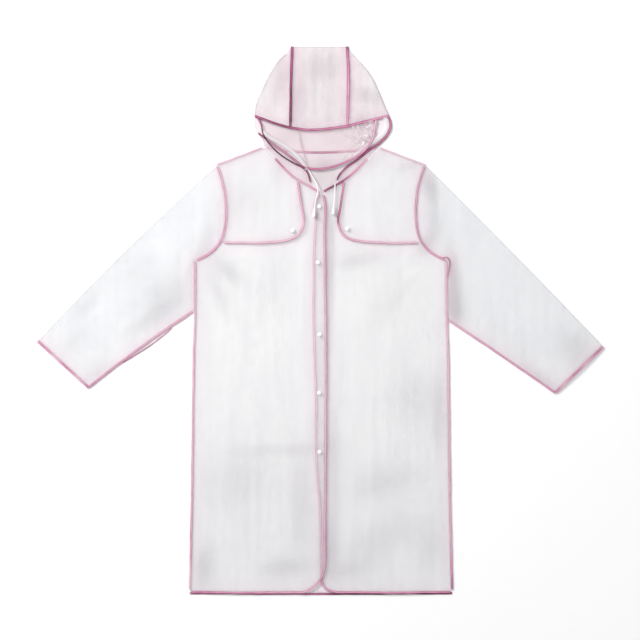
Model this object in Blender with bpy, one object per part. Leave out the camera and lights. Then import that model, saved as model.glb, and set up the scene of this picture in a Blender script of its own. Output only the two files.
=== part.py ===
# A hooded raincoat of frosted film with bound seams, laid flat on its back.
# Sizes are in millimetres and are scaled to metres as each mesh is made. +X is to the viewer's right
# (the wearer's left), +Y runs from hem to hood, +Z points up from the surface. The origin is the
# middle of the whole outline, on the surface.
import bpy
import numpy as np
from mathutils import Matrix

# Film, seams and tape
wall = 1.2
gap = 0.3
tape_width = 5.6
tape_proud = 0.7
tape_foot = 0.3
seam_inset = tape_width / 2 + gap
millimetre = 0.001
to_middle = (1.5, 2.55, 0.0)

# How the upper layer lies over the lower one
lower_top = wall
upper_under = wall + gap
body_rise = 1.3
rise_run = 110.0
folds_end = 150.0
folds_run = 100.0
lap_lift = wall + tape_proud + gap
lap_starts = -66.0
lap_done = -24.0
sleeve_rise = 1.76
sleeve_rise_run = 0.12
most_sleeve_rise = 3.2
underarm_share = 0.68
underarm_spread = 0.16
underarm_run = 0.1
underarm_push = (8.0, 10.0)
hood_rise = 1.9

# The plan of one half of the body, from the centre line outwards. Each row is (half width, height).
shoulder_tip = (234.0, 348.0)
neck_point = (128.0, 388.0)
underarm_point = (283.0, 131.0)
hem_height = -613.0
armhole_rows = [shoulder_tip, (224, 320), (216, 287), (213, 240), (216, 205), (224, 178), (243, 154),
                underarm_point]
side_rows = [underarm_point, (283, 24), (286, -82), (288, -226), (290, -393), (295, hem_height)]
front_neck_rows = [neck_point, (112, 372), (96, 354), (81, 338), (64, 322), (45, 309), (24, 298),
                   (3, 286)]
back_neck_rows = [neck_point, (84, 381), (38, 377), (0, 375)]
back_hem_drop = 3.5
front_hem_drop = 1.5
neck_tape_from = 2
corner_points = 5

# The front edges below the neck seam, as rows of (x, height), down to where each rounds into the hem
top_lap_rows = [(3, 286), (7, 271), (9, 252), (8, 200), (9, 90), (11, -60), (10, -294), (8.5, -532),
                (8.5, -552)]
top_lap_corner = [(8.5, -552), (2, -578), (-13, -598), (-38, -613)]
under_lap_rows = [(3, 286), (-8, 276), (-12, 219), (-16, -19), (-11, -177), (-10, -321), (-3, -408),
                  (0, -514), (0, -566)]
under_lap_corner = [(0, -566), (2, -590), (12, -606), (34, -613)]

# The storm flap over each yoke, from the neck seam down, round its corner and out to the armhole
flap_inner_rows = [(52, 313), (48, 283), (42, 246), (38.5, 223), (41, 207), (52, 189), (72, 179)]
flap_bottom_rows = [(72, 179), (95, 175), (124, 173), (162, 172), (221, 173)]

# Each sleeve: where it leaves the side seam, then the upper and lower ends of its cuff
sleeves = {
    "right": {"sign": -1, "meets_side": (283, 22), "cuff_top": (638, -48), "cuff_low": (523, -153),
              "bow": 6},
    "left": {"sign": 1, "meets_side": (283, 1), "cuff_top": (635, -61), "cuff_low": (527, -165),
             "bow": 2},
}

# The hood, as it lies face up. Rows are (x, height).
crown_height = 614.0
hood_half_width = 150.0
hood_rise_run = 90.0
strip_rows = {
    "right": [(-65, crown_height), (-67, 540), (-68, 494), (-69, 431)],
    "left": [(59, crown_height), (62, 560), (61, 494), (60, 435)],
}
outline_rows = {
    "right": [(-80, 598), (-91, 587), (-116, 549), (-137, 505), (-146, 482), (-149, 458)],
    "left": [(74, 594), (84, 583), (112, 546), (132, 505), (143, 479), (153, 458)],
}
brim_rows = {
    "right": [(-149, 458), (-117, 445), (-69, 431)],
    "middle": [(-69, 431), (-21, 426), (11, 428), (60, 435)],
    "left": [(60, 435), (92, 443), (117, 449), (153, 458)],
}
hood_lower_rows = {
    "right": [(-149, 458), (-149, 432), (-143, 408), (-128, 388)],
    "left": [(153, 458), (157, 438), (150, 411), (128, 388)],
}
face_rows = {
    "right": [(-141, 419), (-117, 401), (-86, 379), (-55, 355), (-41, 342), (-30, 329), (-24, 310)],
    "left": [(149, 415), (130, 396), (110, 382), (80, 358), (54, 339), (42, 326), (36, 314)],
}
# Where each cheek begins: the fold it hangs from and the height its face edge starts at
cheek_starts = {"right": {"fold": [(-138, 400), (-128, 388)], "face_height": 430},
                "left": {"fold": [], "face_height": 391}}
visor_rows = [(-135, 440), (-130, 418), (-107, 385), (-62, 352), (-29, 340), (0, 339), (54, 353),
              (90, 373), (115, 405), (121, 436)]
visor_wall = 1.0
seam_end_gap = 5.0

# Snaps, (x, height), on the placket and on the flaps
snap_radius = 5.5
snap_height = 2.4
snap_sides = 14
placket_snaps = [(-4, 254), (-7, 128), (-3, -34), (-4, -165), (-3, -298)]
flap_snaps = {"right": (-64, 200), "left": (59, 204)}

# The two free ends of the drawcord: rows of (x, height, lift above what it lies on)
cord_radius = 1.25
cord_point_spacing = 6.0
cord_meets_lap = 318.0
cord_lap_run = 26.0
cord_rows = {
    "right": [(-27, 334, 0.0), (-19, 321, 0.0), (-10, 304, 0.6), (-7, 286, 1.0), (-12, 268, 1.4),
              (-14, 250, 2.4)],
    "left": [(31.5, 306, 0.0), (31.5, 293, 0.8), (30.5, 278, 1.2), (29.5, 262, 2.0), (29, 256, 2.4)],
}
cord_end_length = 19.0
cord_end_profile = [(0.0, 1.7), (0.12, 2.2), (0.35, 2.6), (0.75, 3.6), (0.93, 3.9), (1.0, 3.1)]

# The largest soft folds of the upper layer, a row each:
# (x, height, degrees from upright, half length, half width, rise)
body_folds = [
    (-205, -260, 4, 190, 16, 0.5),
    (-120, -60, -3, 210, 22, 0.35),
    (-62, -390, 2, 150, 14, 0.4),
    (-238, 40, 8, 80, 12, -0.3),
    (95, -120, -4, 190, 20, 0.4),
    (180, -330, 3, 200, 18, 0.5),
    (240, 20, -9, 90, 12, -0.3),
    (60, -450, 0, 120, 14, 0.35),
]
# The sleeves' folds, across each one: (place along the sleeve, width, rise)
sleeve_folds = [(0.22, 0.10, 0.35), (0.46, 0.07, -0.3), (0.63, 0.08, 0.4), (0.84, 0.06, -0.2)]

film = {"colour": (0.86, 0.85, 0.86), "roughness": 0.45}
hood_film = {"colour": (0.85, 0.82, 0.84), "roughness": 0.45}
clear_film = {"colour": (0.90, 0.88, 0.89), "roughness": 0.15}
pink_tape = {"colour": (0.80, 0.33, 0.55), "roughness": 0.30}
white_plastic = {"colour": (0.92, 0.92, 0.92), "roughness": 0.35}
white_cord = {"colour": (0.90, 0.89, 0.88), "roughness": 0.80}


def material(name, finish):
    made = bpy.data.materials.new(name)
    made.use_nodes = True
    shader = made.node_tree.nodes["Principled BSDF"]
    shader.inputs["Base Color"].default_value = (*finish["colour"], 1.0)
    shader.inputs["Roughness"].default_value = finish["roughness"]
    shader.inputs["Metallic"].default_value = 0.0
    return made


def add_object(name, data, finish):
    data.materials.append(material(name, finish))
    made = bpy.data.objects.new(name, data)
    bpy.context.scene.collection.objects.link(made)
    return made


def ease(t):
    t = np.clip(t, 0.0, 1.0)
    return t * t * (3 - 2 * t)


def resample(points, count):
    steps = np.linalg.norm(np.diff(points, axis=0), axis=1)
    along = np.concatenate([[0.0], np.cumsum(steps)])
    wanted = np.linspace(0.0, along[-1], count)
    return np.stack([np.interp(wanted, along, column) for column in points.T], axis=1)


def curve(rows, count):
    # A smooth line through the rows: a cubic between each two, with slopes taken from their neighbours
    rows = np.array(rows, float)
    along = np.concatenate([[0.0], np.cumsum(np.linalg.norm(np.diff(rows, axis=0), axis=1))])
    if len(rows) == 2:
        return resample(rows, count)
    slopes = np.stack([np.gradient(column, along) for column in rows.T], axis=1)
    at = np.linspace(0.0, along[-1], 30 * len(rows))
    i = np.clip(np.searchsorted(along, at, "right") - 1, 0, len(along) - 2)
    span = (along[i + 1] - along[i])[:, None]
    t = (at - along[i])[:, None] / span
    fine = (rows[i] * (2 * t**3 - 3 * t**2 + 1) + slopes[i] * span * (t**3 - 2 * t**2 + t)
            + rows[i + 1] * (3 * t**2 - 2 * t**3) + slopes[i + 1] * span * (t**3 - t**2))
    return resample(fine, count)


def shifted(line, distance):
    # A line beside another in plan, at an even distance to its left
    slope = np.gradient(line, axis=0)
    slope /= np.linalg.norm(slope, axis=1)[:, None]
    return line + np.stack([-slope[:, 1], slope[:, 0]], axis=1) * distance


def mirrored(rows, sign):
    return np.array(rows, float) * (sign, 1)


def above(line, height, axis=1):
    # The stretch of a falling line that lies above a height
    kept = line[line[:, axis] > height]
    if len(kept) == len(line):
        return line
    first_below = line[len(kept)]
    share = (kept[-1, axis] - height) / (kept[-1, axis] - first_below[axis])
    return np.concatenate([kept, [kept[-1] + (first_below - kept[-1]) * share]])


def trimmed(line, start, end):
    # A line without its first and last few millimetres
    for length in (start, end):
        along = np.concatenate([[0.0], np.cumsum(np.linalg.norm(np.diff(line, axis=0), axis=1))])
        first = np.array([np.interp(length, along, column) for column in line.T])
        line = np.concatenate([[first], line[along > length]])[::-1]
    return line


# Seams that several pieces share, each one line in plan that all of them follow
armhole_line = curve(armhole_rows, 14)
side_line = curve(side_rows, 13)
neck_line = curve(front_neck_rows, 11)
back_neck_line = curve(back_neck_rows, 6)
brim_lines = {"right": curve(brim_rows["right"], 6), "middle": curve(brim_rows["middle"], 8),
              "left": curve(brim_rows["left"], 6)}
brim_line = np.concatenate([brim_lines["right"][:-1], brim_lines["middle"][:-1], brim_lines["left"]])


def is_straight(line):
    chord = line[-1] - line[0]
    aside = (line - line[0]) @ np.array([-chord[1], chord[0]]) / np.linalg.norm(chord)
    return np.abs(aside).max() < 0.01


def inset_patch(top, right, bottom, left, insets):
    # Moves the four edges of a panel inwards, each by its own distance, and fills it between them.
    # top and bottom run left to right, left and right run top to bottom.
    across, down = len(top), len(left)
    loop = np.concatenate([top[:-1], right[:-1], bottom[::-1][:-1], left[::-1][:-1]])
    edge_inset = np.concatenate([np.full(across - 1, insets[0]), np.full(down - 1, insets[1]),
                                 np.full(across - 1, insets[2]), np.full(down - 1, insets[3])])
    ahead = np.roll(loop, -1, axis=0) - loop
    ahead /= np.linalg.norm(ahead, axis=1)[:, None]
    normal = np.stack([ahead[:, 1], -ahead[:, 0]], axis=1)
    before, before_inset = np.roll(normal, 1, axis=0), np.roll(edge_inset, 1)
    cross = before[:, 0] * normal[:, 1] - before[:, 1] * normal[:, 0]
    smooth_turn = np.abs(cross) < 0.02
    cross = np.where(smooth_turn, 1.0, cross)
    move = np.stack([(before_inset * normal[:, 1] - edge_inset * before[:, 1]) / cross,
                     (edge_inset * before[:, 0] - before_inset * normal[:, 0]) / cross], axis=1)
    plain = normal * np.maximum(edge_inset, before_inset)[:, None]
    loop = loop + np.where(smooth_turn[:, None], plain, move)
    loop = np.concatenate([loop, loop[:1]])
    a, b, c = across - 1, across + down - 2, 2 * across + down - 3
    sides = loop[: a + 1], loop[a: b + 1], loop[b: c + 1][::-1], loop[c:][::-1]
    was_straight = [is_straight(line) for line in (top, right, bottom, left)]
    top, right, bottom, left = (resample(line[[0, -1]], len(line)) if plain_line else line
                                for line, plain_line in zip(sides, was_straight))
    u = np.linspace(0, 1, across)[None, :, None]
    v = np.linspace(0, 1, down)[:, None, None]
    edges = (1 - v) * top[None] + v * bottom[None] + (1 - u) * left[:, None] + u * right[:, None]
    corners = (1 - v) * ((1 - u) * top[0] + u * top[-1]) + v * ((1 - u) * bottom[0] + u * bottom[-1])
    return edges - corners


def closed_shell(name, outer, inner, finish, wrap=False):
    # One closed body between two grids of points. With wrap, the rows run round a tube.
    rows, columns = outer.shape[:2]
    points = np.concatenate([outer.reshape(-1, 3), inner.reshape(-1, 3)]) * millimetre
    index = np.arange(rows * columns).reshape(rows, columns)
    below = index + rows * columns
    following = np.roll(index, -1, axis=1) if wrap else index[:, 1:]
    this = index if wrap else index[:, :-1]
    under_following = np.roll(below, -1, axis=1) if wrap else below[:, 1:]
    under_this = below if wrap else below[:, :-1]
    corners = [(this[:-1], this[1:], following[1:], following[:-1]),
               (under_this[:-1], under_following[:-1], under_following[1:], under_this[1:]),
               (this[0], following[0], under_following[0], under_this[0]),
               (this[-1], under_this[-1], under_following[-1], following[-1])]
    if not wrap:
        corners.append((index[:-1, 0], below[:-1, 0], below[1:, 0], index[1:, 0]))
        corners.append((index[:-1, -1], index[1:, -1], below[1:, -1], below[:-1, -1]))
    faces = np.concatenate([np.stack(four, axis=-1).reshape(-1, 4) for four in corners])
    mesh = bpy.data.meshes.new(name)
    mesh.from_pydata(points.tolist(), [], faces.tolist())
    mesh.shade_smooth()
    mesh.set_sharp_from_angle(angle=0.7)
    return add_object(name, mesh, finish)


def slab(name, plan, under, thickness, finish):
    # A panel: its plan at the height of its underside, and the same points moved up by its thickness
    low = under(plan[..., 0], plan[..., 1])
    inner = np.dstack([plan, low])
    outer = np.dstack([plan, low + thickness])
    return closed_shell(name, outer, inner, finish)


def strip(name, line, foot, top, finish=pink_tape, width=tape_width):
    # A tape of even width along a line in plan, between two heights
    slope = np.gradient(line, axis=0)
    slope /= np.linalg.norm(slope, axis=1)[:, None]
    across = np.stack([slope[:, 1], -slope[:, 0]], axis=1) * width / 2
    plan = np.stack([line + across, line - across], axis=1)
    low = np.broadcast_to(foot(plan[..., 0], plan[..., 1]), plan.shape[:2])
    high = np.broadcast_to(top(plan[..., 0], plan[..., 1]), plan.shape[:2])
    return closed_shell(name, np.dstack([plan, high]), np.dstack([plan, low]), finish)


def folds(x, y, rows):
    lift = np.zeros_like(np.asarray(x, float))
    for fold_x, fold_y, degrees, half_length, half_width, rise in rows:
        turn = np.radians(degrees)
        along = (y - fold_y) * np.cos(turn) + (x - fold_x) * np.sin(turn)
        across = (x - fold_x) * np.cos(turn) - (y - fold_y) * np.sin(turn)
        lift = lift + rise * np.exp(-((across / half_width) ** 2) - (along / half_length) ** 2)
    return lift


def front_under(x, y):
    # The underside of the upper layer: it leaves the lower one at the side and shoulder seams
    rows = np.array((armhole_rows + side_rows[1:])[::-1], float)
    half = np.interp(y, rows[:, 1], rows[:, 0])
    slope = (neck_point[1] - shoulder_tip[1]) / (neck_point[0] - shoulder_tip[0])
    shoulder = neck_point[1] + np.maximum(np.abs(x) - neck_point[0], 0) * slope
    share = ease((half - np.abs(x)) / rise_run) * ease((shoulder - y) / rise_run)
    lift = body_rise + folds(x, y, body_folds) * ease((folds_end - y) / folds_run)
    return upper_under + share * lift


def top_lap_under(x, y):
    # The wearer's right front passes over the left one at the placket
    return front_under(x, y) + lap_lift * ease((x - lap_starts) / (lap_done - lap_starts))


def raised(surface, *lifts):
    return lambda x, y: surface(x, y) + sum(lifts)


def level(height):
    return lambda x, y: np.full(np.shape(x), height)


def make_back():
    half_neck = back_neck_line
    seam = curve([shoulder_tip, neck_point], 4)
    half_top = np.concatenate([seam[:-1], half_neck])
    top = np.concatenate([half_top * (-1, 1), half_top[::-1][1:]])
    edge = np.concatenate([armhole_line[:-1], side_line])
    hem = [(-side_rows[-1][0], hem_height - back_hem_drop / 2), (0, hem_height - back_hem_drop),
           (side_rows[-1][0], hem_height - back_hem_drop / 2)]
    edge[-1, 1] = hem[0][1]
    plan = inset_patch(top, edge, curve(hem, len(top)), edge * (-1, 1), [seam_inset] * 4)
    slab("back", plan, level(0.0), wall, film)
    strip("tape_back_hem", curve(hem, 12), level(tape_foot), level(lower_top))
    line = np.concatenate([half_neck * (-1, 1), half_neck[::-1][1:]])
    strip("tape_back_neck", trimmed(line, seam_end_gap, seam_end_gap), level(tape_foot), level(lower_top))


def make_front(side, sign, edge_rows, corner_rows, under):
    # top: the shoulder seam; centre: neck seam, front edge and rounded corner; outer: armhole and side
    corner_x = corner_rows[-1][0]
    hem_end = (sign * side_rows[-1][0], hem_height)
    hem_middle = (sign * side_rows[-1][0] / 2, hem_height - front_hem_drop)
    hem = curve([hem_end, hem_middle, (corner_x, hem_height)], 11)
    shoulder = curve(mirrored([shoulder_tip, neck_point], sign), 11)
    outer = mirrored(np.concatenate([armhole_line[:-1], side_line]), sign)
    neck = mirrored(neck_line, sign)
    edge = curve(edge_rows, len(outer) - len(neck) - corner_points + 2)
    corner = curve(corner_rows, corner_points)
    centre = np.concatenate([neck[:-1], edge[:-1], corner])
    if sign < 0:
        plan = inset_patch(shoulder, centre, hem, outer, [seam_inset] * 4)
    else:
        plan = inset_patch(shoulder[::-1], outer, hem[::-1], centre, [seam_inset] * 4)
    slab(f"front_{side}", plan, under, wall, film)
    bound = np.concatenate([edge[1:-1], corner[:-1], hem[::-1][:-1]])
    strip(f"tape_front_{side}", bound, under, raised(under, wall, tape_proud))
    strip(f"tape_neck_{side}", neck[neck_tape_from:-1], front_under, raised(front_under, wall, tape_proud))


def make_flap(side, sign, under):
    on_front = raised(under, wall, gap)
    armhole = mirrored(above(armhole_line, flap_bottom_rows[-1][1]), sign)
    neck = mirrored(above(neck_line, flap_inner_rows[0][1]), sign)
    inner = curve(mirrored(flap_inner_rows, sign), max(len(armhole) - len(neck) + 1, 8))
    while len(neck) + len(inner) - 1 > len(armhole):
        longest = np.argmax(np.linalg.norm(np.diff(armhole, axis=0), axis=1))
        armhole = np.insert(armhole, longest + 1, (armhole[longest] + armhole[longest + 1]) / 2, axis=0)
    centre = np.concatenate([neck[:-1], inner])
    shoulder = curve(mirrored([shoulder_tip, neck_point], sign), 8)
    bottom = curve(mirrored(flap_bottom_rows[::-1], sign), 8)
    if sign < 0:
        plan = inset_patch(shoulder, centre, bottom, armhole, [seam_inset] * 4)
    else:
        plan = inset_patch(shoulder[::-1], armhole, bottom[::-1], centre, [seam_inset] * 4)
    slab(f"yoke_{side}", plan, on_front, wall, film)
    bound = np.concatenate([inner[1:-1], bottom[::-1]])[:-1]
    strip(f"tape_yoke_{side}", bound, on_front, raised(on_front, wall, tape_proud))


def sleeve_ring(plan, rise, foot=0.0, proud=0.0, fold_steps=3):
    # Rings round a flattened tube. Each row of the plan is one ring, from the fold to the underarm.
    # The upper layer swells between them, the lower one lies flat.
    rows, columns = plan.shape[:2]
    t = np.linspace(0, 1, columns)
    swell = rise * np.sin(np.pi * t) ** 0.8
    outward = [plan[:, 0] - plan[:, 1], plan[:, -1] - plan[:, -2]]
    outward = [way / np.linalg.norm(way, axis=1)[:, None] for way in outward]
    low_top, high_under = wall, upper_under + swell
    high_top = high_under + wall + proud

    def ring(reach, low, high):
        # reach: how far the ring's edges stand in from the plan's edges
        inner_plan = plan.copy()
        inner_plan[:, 0] -= outward[0] * reach
        inner_plan[:, -1] -= outward[1] * reach
        upper = np.dstack([inner_plan, np.broadcast_to(high, (rows, columns))])
        lower = np.dstack([inner_plan, np.full((rows, columns), low)])[:, ::-1]
        turns = []
        for end in (-1, 0):
            middle = np.broadcast_to((high[..., end] + low) / 2, (rows,))
            half = np.broadcast_to((high[..., end] - low) / 2, (rows,))
            angles = np.linspace(np.pi / 2, -np.pi / 2, fold_steps + 2)[1:-1] * (1 if end else -1)
            turn = [np.column_stack([inner_plan[:, end] + outward[end] * np.cos(a) * half[:, None],
                                     middle + half * np.sin(a)]) for a in angles]
            turns.append(np.stack(turn, axis=1))
        return np.concatenate([upper, turns[0], lower, turns[1]], axis=1)

    outer_reach = (upper_under + wall + proud - foot) / 2
    outer = ring(outer_reach, foot, high_top)
    inner = ring(outer_reach, low_top, high_under)
    return outer, inner


def make_sleeve(side, sizes):
    sign = sizes["sign"]
    armhole = mirrored(np.concatenate([armhole_line[:-1], above(side_line, sizes["meets_side"][1])]), sign)
    cuff = curve(mirrored([sizes["cuff_top"], sizes["cuff_low"]], sign), len(armhole))
    stations = 11
    bow = sizes["bow"] * np.sin(np.linspace(0, np.pi, stations))[:, None]
    out = np.array([sign * 0.7, 0.7])
    fold = curve(mirrored([shoulder_tip, sizes["cuff_top"]], sign), stations) + bow * out
    underarm = curve(mirrored([sizes["meets_side"], sizes["cuff_low"]], sign), stations) + bow * out * 0.6
    # Laid out with the fold on top and the cuff on the right, then turned back for the other sleeve
    if sign > 0:
        plan = inset_patch(fold, cuff, underarm, armhole, [0, seam_inset, seam_inset, seam_inset])
    else:
        plan = inset_patch(fold[::-1], armhole, underarm[::-1], cuff, [0, seam_inset, seam_inset, seam_inset])
        plan = plan[:, ::-1]
    plan = plan.transpose(1, 0, 2)
    share = np.linspace(0, 1, stations)
    # The rings leave the armhole squarely near the underarm, before they turn along the sleeve
    down = np.linspace(0, 1, len(armhole))
    near_underarm = np.exp(-(((down - underarm_share) / underarm_spread) ** 2))
    near_armhole = share / underarm_run * np.exp(1 - share / underarm_run)
    push = near_armhole[:, None] * near_underarm
    plan = plan + push[..., None] * np.array(underarm_push) * (sign, 1)
    crease = sum(rise * np.exp(-(((share - place) / width) ** 2)) for place, width, rise in sleeve_folds)
    rise = (sleeve_rise * ease(share / sleeve_rise_run) + crease)[:, None] * np.ones(len(armhole))
    rise = np.clip(rise, 0.0, most_sleeve_rise)
    outer, inner = sleeve_ring(plan, rise)
    if sign > 0:
        outer, inner = outer[::-1], inner[::-1]
    closed_shell(f"sleeve_{side}", outer, inner, film, wrap=True)

    # The cuff's binding goes on past the sleeve's end as a short tube
    past = plan[-1] - plan[-2]
    past /= np.linalg.norm(past, axis=1)[:, None]
    band = np.stack([plan[-1] + past * gap, plan[-1] + past * (gap + tape_width)])
    outer, inner = sleeve_ring(band, rise[-2:], tape_foot, tape_proud)
    if sign > 0:
        outer, inner = outer[::-1], inner[::-1]
    closed_shell(f"tape_cuff_{side}", outer, inner, pink_tape, wrap=True)

    edge_top = upper_under + wall + tape_proud / 2
    strip(f"tape_underarm_{side}", underarm[1:-1], level(tape_foot), level(edge_top))
    line = mirrored(armhole_line, sign)[1:-1]
    strip(f"tape_armhole_{side}", line, front_under, raised(front_under, wall, tape_proud))
    strip(f"tape_armhole_back_{side}", line, level(tape_foot), level(lower_top))
    strip(f"tape_side_{side}", mirrored(side_line, sign)[:-1], level(tape_foot), level(edge_top))
    shoulder = curve(mirrored([shoulder_tip, neck_point], sign), 6)
    strip(f"tape_shoulder_{side}", trimmed(shoulder, 0, seam_end_gap), level(tape_foot), level(edge_top))


def make_snap(name, place, surface):
    x, y = place
    turn = np.linspace(0, 2 * np.pi, snap_sides)
    base = float(surface(x + snap_radius * np.cos(turn), y + snap_radius * np.sin(turn)).max()) + gap
    profile = [(0.0, 0.0), (1.0, 0.0), (1.0, 0.35), (0.82, 0.72), (0.45, 0.95), (0.0, 1.0)]
    make_turned(name, profile, (x, y, base), (0, 0, 1), snap_height, snap_radius, snap_sides, white_plastic)


def make_turned(name, profile, start, axis, length, radius, sides, finish):
    # A body turned about an axis. Profile rows are (radius, distance) as shares of the whole.
    axis = np.array(axis, float) / np.linalg.norm(axis)
    aside = np.cross(axis, (0, 0, 1) if abs(axis[2]) < 0.9 else (1, 0, 0))
    aside /= np.linalg.norm(aside)
    other = np.cross(axis, aside)
    start = np.array(start, float)
    points, faces, previous = [start + axis * length * profile[0][1]], [], None
    turn = np.arange(sides) * 2 * np.pi / sides
    for share, place in profile[1:-1]:
        middle = start + axis * length * place
        ring = [middle + radius * share * (np.cos(a) * aside + np.sin(a) * other) for a in turn]
        first = len(points)
        points += ring
        here = [first + k for k in range(sides)]
        for k in range(sides):
            n = (k + 1) % sides
            faces.append((0, here[n], here[k]) if previous is None else (previous[k], previous[n], here[n], here[k]))
        previous = here
    points.append(start + axis * length * profile[-1][1])
    faces += [(previous[k], previous[(k + 1) % sides], len(points) - 1) for k in range(sides)]
    mesh = bpy.data.meshes.new(name)
    mesh.from_pydata((np.array(points) * millimetre).tolist(), [], faces)
    mesh.shade_smooth()
    mesh.set_sharp_from_angle(angle=0.7)
    return add_object(name, mesh, finish)


def hood_under(x, y):
    # The hood's upper layer swells between its outline, its crown and the brim
    share = np.clip(1 - (x / hood_half_width) ** 2, 0, 1) * ease((crown_height - y) / hood_rise_run)
    return upper_under + hood_rise * share


def make_hood_strip():
    # One film strip from the brim over the crown fold and down to the back neck seam
    columns, front_rows, back_rows, fold_rows = len(brim_lines["middle"]), 7, 5, 4
    brim = brim_lines["middle"]
    right, left = curve(strip_rows["right"], front_rows), curve(strip_rows["left"], front_rows)
    top = curve([strip_rows["right"][0], strip_rows["left"][0]], columns)
    front = inset_patch(top, left, brim, right, [0, seam_inset, seam_inset, seam_inset])[::-1]
    radius = (upper_under + wall) / 2
    front[-1, :, 1] -= radius
    crown = front[-1]
    neck_y = np.interp(np.abs(crown[:, 0]), back_neck_line[::-1, 0], back_neck_line[::-1, 1]) + seam_inset
    t = np.linspace(0, 1, back_rows)[:, None]
    back = np.dstack([np.broadcast_to(crown[:, 0], (back_rows, columns)), crown[:, 1] + (neck_y - crown[:, 1]) * t])
    under = hood_under(front[..., 0], front[..., 1])
    under[-1] = upper_under
    angles = np.linspace(0, np.pi, fold_rows + 2)[1:-1][:, None]

    def layer(radius_here, high, low):
        middle = (upper_under + wall) / 2
        fold = np.dstack([np.broadcast_to(crown[:, 0], (fold_rows, columns)),
                          crown[:, 1] + radius_here * np.sin(angles) * np.ones(columns),
                          middle + radius_here * np.cos(angles) * np.ones(columns)])
        return np.concatenate([np.dstack([front, high]), fold, np.dstack([back, np.full(back.shape[:2], low)])])

    outer = layer(radius, under + wall, 0.0)
    inner = layer(gap / 2, under, wall)
    closed_shell("hood_centre", outer[::-1], inner[::-1], hood_film)


def make_hood_side(side, sign):
    # One film panel, folded along the hood's outline: its upper layer from the crown to the brim, its lower
    # layer down to the back neck seam, and its cheek from the face opening to the front neck seam
    strip_line = curve(strip_rows[side], 10)
    outline = curve(outline_rows[side], 10)
    top = curve([strip_rows[side][0], outline_rows[side][0]], 6)
    brim = brim_lines[side]
    lower = curve(hood_lower_rows[side], 6)
    whole = np.concatenate([outline[:-1], lower])
    strip_x, strip_top = strip_rows[side][0]
    neck = mirrored(above(back_neck_line, abs(strip_x), 0), sign)
    back_top = curve([strip_rows[side][0], outline_rows[side][0]], len(neck))
    back_seam = curve([(strip_x, strip_top), neck[-1]], len(whole))
    if sign < 0:
        front = inset_patch(top[::-1], strip_line, brim, outline, [0, seam_inset + gap, seam_inset, 0])
        back = inset_patch(back_top[::-1], back_seam, neck, whole, [0, seam_inset, seam_inset, 0])
    else:
        front = inset_patch(top, outline, brim, strip_line, [0, 0, seam_inset, seam_inset + gap])
        back = inset_patch(back_top, whole, neck[::-1], back_seam, [0, 0, seam_inset, seam_inset])
    slab(f"hood_side_{side}", front, hood_under, wall, hood_film)
    slab(f"hood_back_{side}", back, level(0.0), wall, hood_film)

    neck_part = above(neck_line, front_neck_rows[-2][1])[1:]
    low_edge = np.array([*cheek_starts[side]["fold"], *mirrored(neck_part, sign)])
    face = curve(face_rows[side], 18)
    face_part = face[face[:, 1] < cheek_starts[side]["face_height"]]
    low_edge = resample(low_edge, len(face_part))
    cheek_edges = [shifted(low_edge, -sign * (seam_inset + gap)), shifted(face_part, sign * (seam_inset + gap))]
    share = np.linspace(0, 1, 4)[:, None, None]
    cheek = cheek_edges[0] + (cheek_edges[1] - cheek_edges[0]) * share
    cheek = cheek.transpose(1, 0, 2)
    slab(f"hood_cheek_{side}", cheek if sign < 0 else cheek[:, ::-1], front_under, wall, hood_film)
    strip(f"tape_hood_{side}", strip_line[:-1], hood_under, raised(hood_under, wall, tape_proud))
    strip(f"tape_face_{side}", face, front_under, raised(front_under, wall, tape_proud))


def make_visor():
    held = (brim_line[:, 0] > visor_rows[0][0]) & (brim_line[:, 0] < visor_rows[-1][0])
    held_line = brim_line[held]
    edge = curve(visor_rows, len(held_line))
    ends = [curve([held_line[k], edge[k]], 4) for k in (0, -1)]
    over = raised(front_under, wall, tape_proud, gap, gap)
    plan = inset_patch(held_line, ends[1], edge, ends[0], [seam_inset] * 4)
    slab("visor", plan, over, visor_wall, clear_film)
    strip("tape_visor", edge, over, raised(over, visor_wall, tape_proud))
    strip("tape_forehead", brim_line, hood_under, raised(hood_under, wall, tape_proud))


def make_cord(side, sign):
    rows = np.array(cord_rows[side], float)
    length = float(np.linalg.norm(np.diff(rows[:, :2], axis=0), axis=1).sum())
    line = curve(rows, round(length / cord_point_spacing) + 1)
    rest = front_under(line[:, 0], line[:, 1]) + wall + tape_proud + gap + cord_radius + line[:, 2]
    if sign < 0:
        rest += lap_lift * ease((cord_meets_lap - line[:, 1]) / cord_lap_run)
    points = np.column_stack([line[:, :2], rest])
    data = bpy.data.curves.new(f"drawcord_{side}", "CURVE")
    data.dimensions = "3D"
    data.bevel_depth = cord_radius * millimetre
    data.bevel_resolution = 2
    data.use_fill_caps = True
    spline = data.splines.new("POLY")
    spline.points.add(len(points) - 1)
    for knot, place in zip(spline.points, points * millimetre):
        knot.co = (*place, 1.0)
    add_object(f"drawcord_{side}", data, white_cord)
    along = points[-1] - points[-2]
    along /= np.linalg.norm(along)
    start = points[-1] + along * gap
    profile = [(0.0, 0.0)] + [(r, t) for t, r in cord_end_profile] + [(0.0, 1.0)]
    make_turned(f"cord_end_{side}", profile, start, along * (1, 1, 0), cord_end_length, 1.0, 12, white_plastic)


for old in list(bpy.data.objects):
    bpy.data.objects.remove(old, do_unlink=True)

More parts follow.
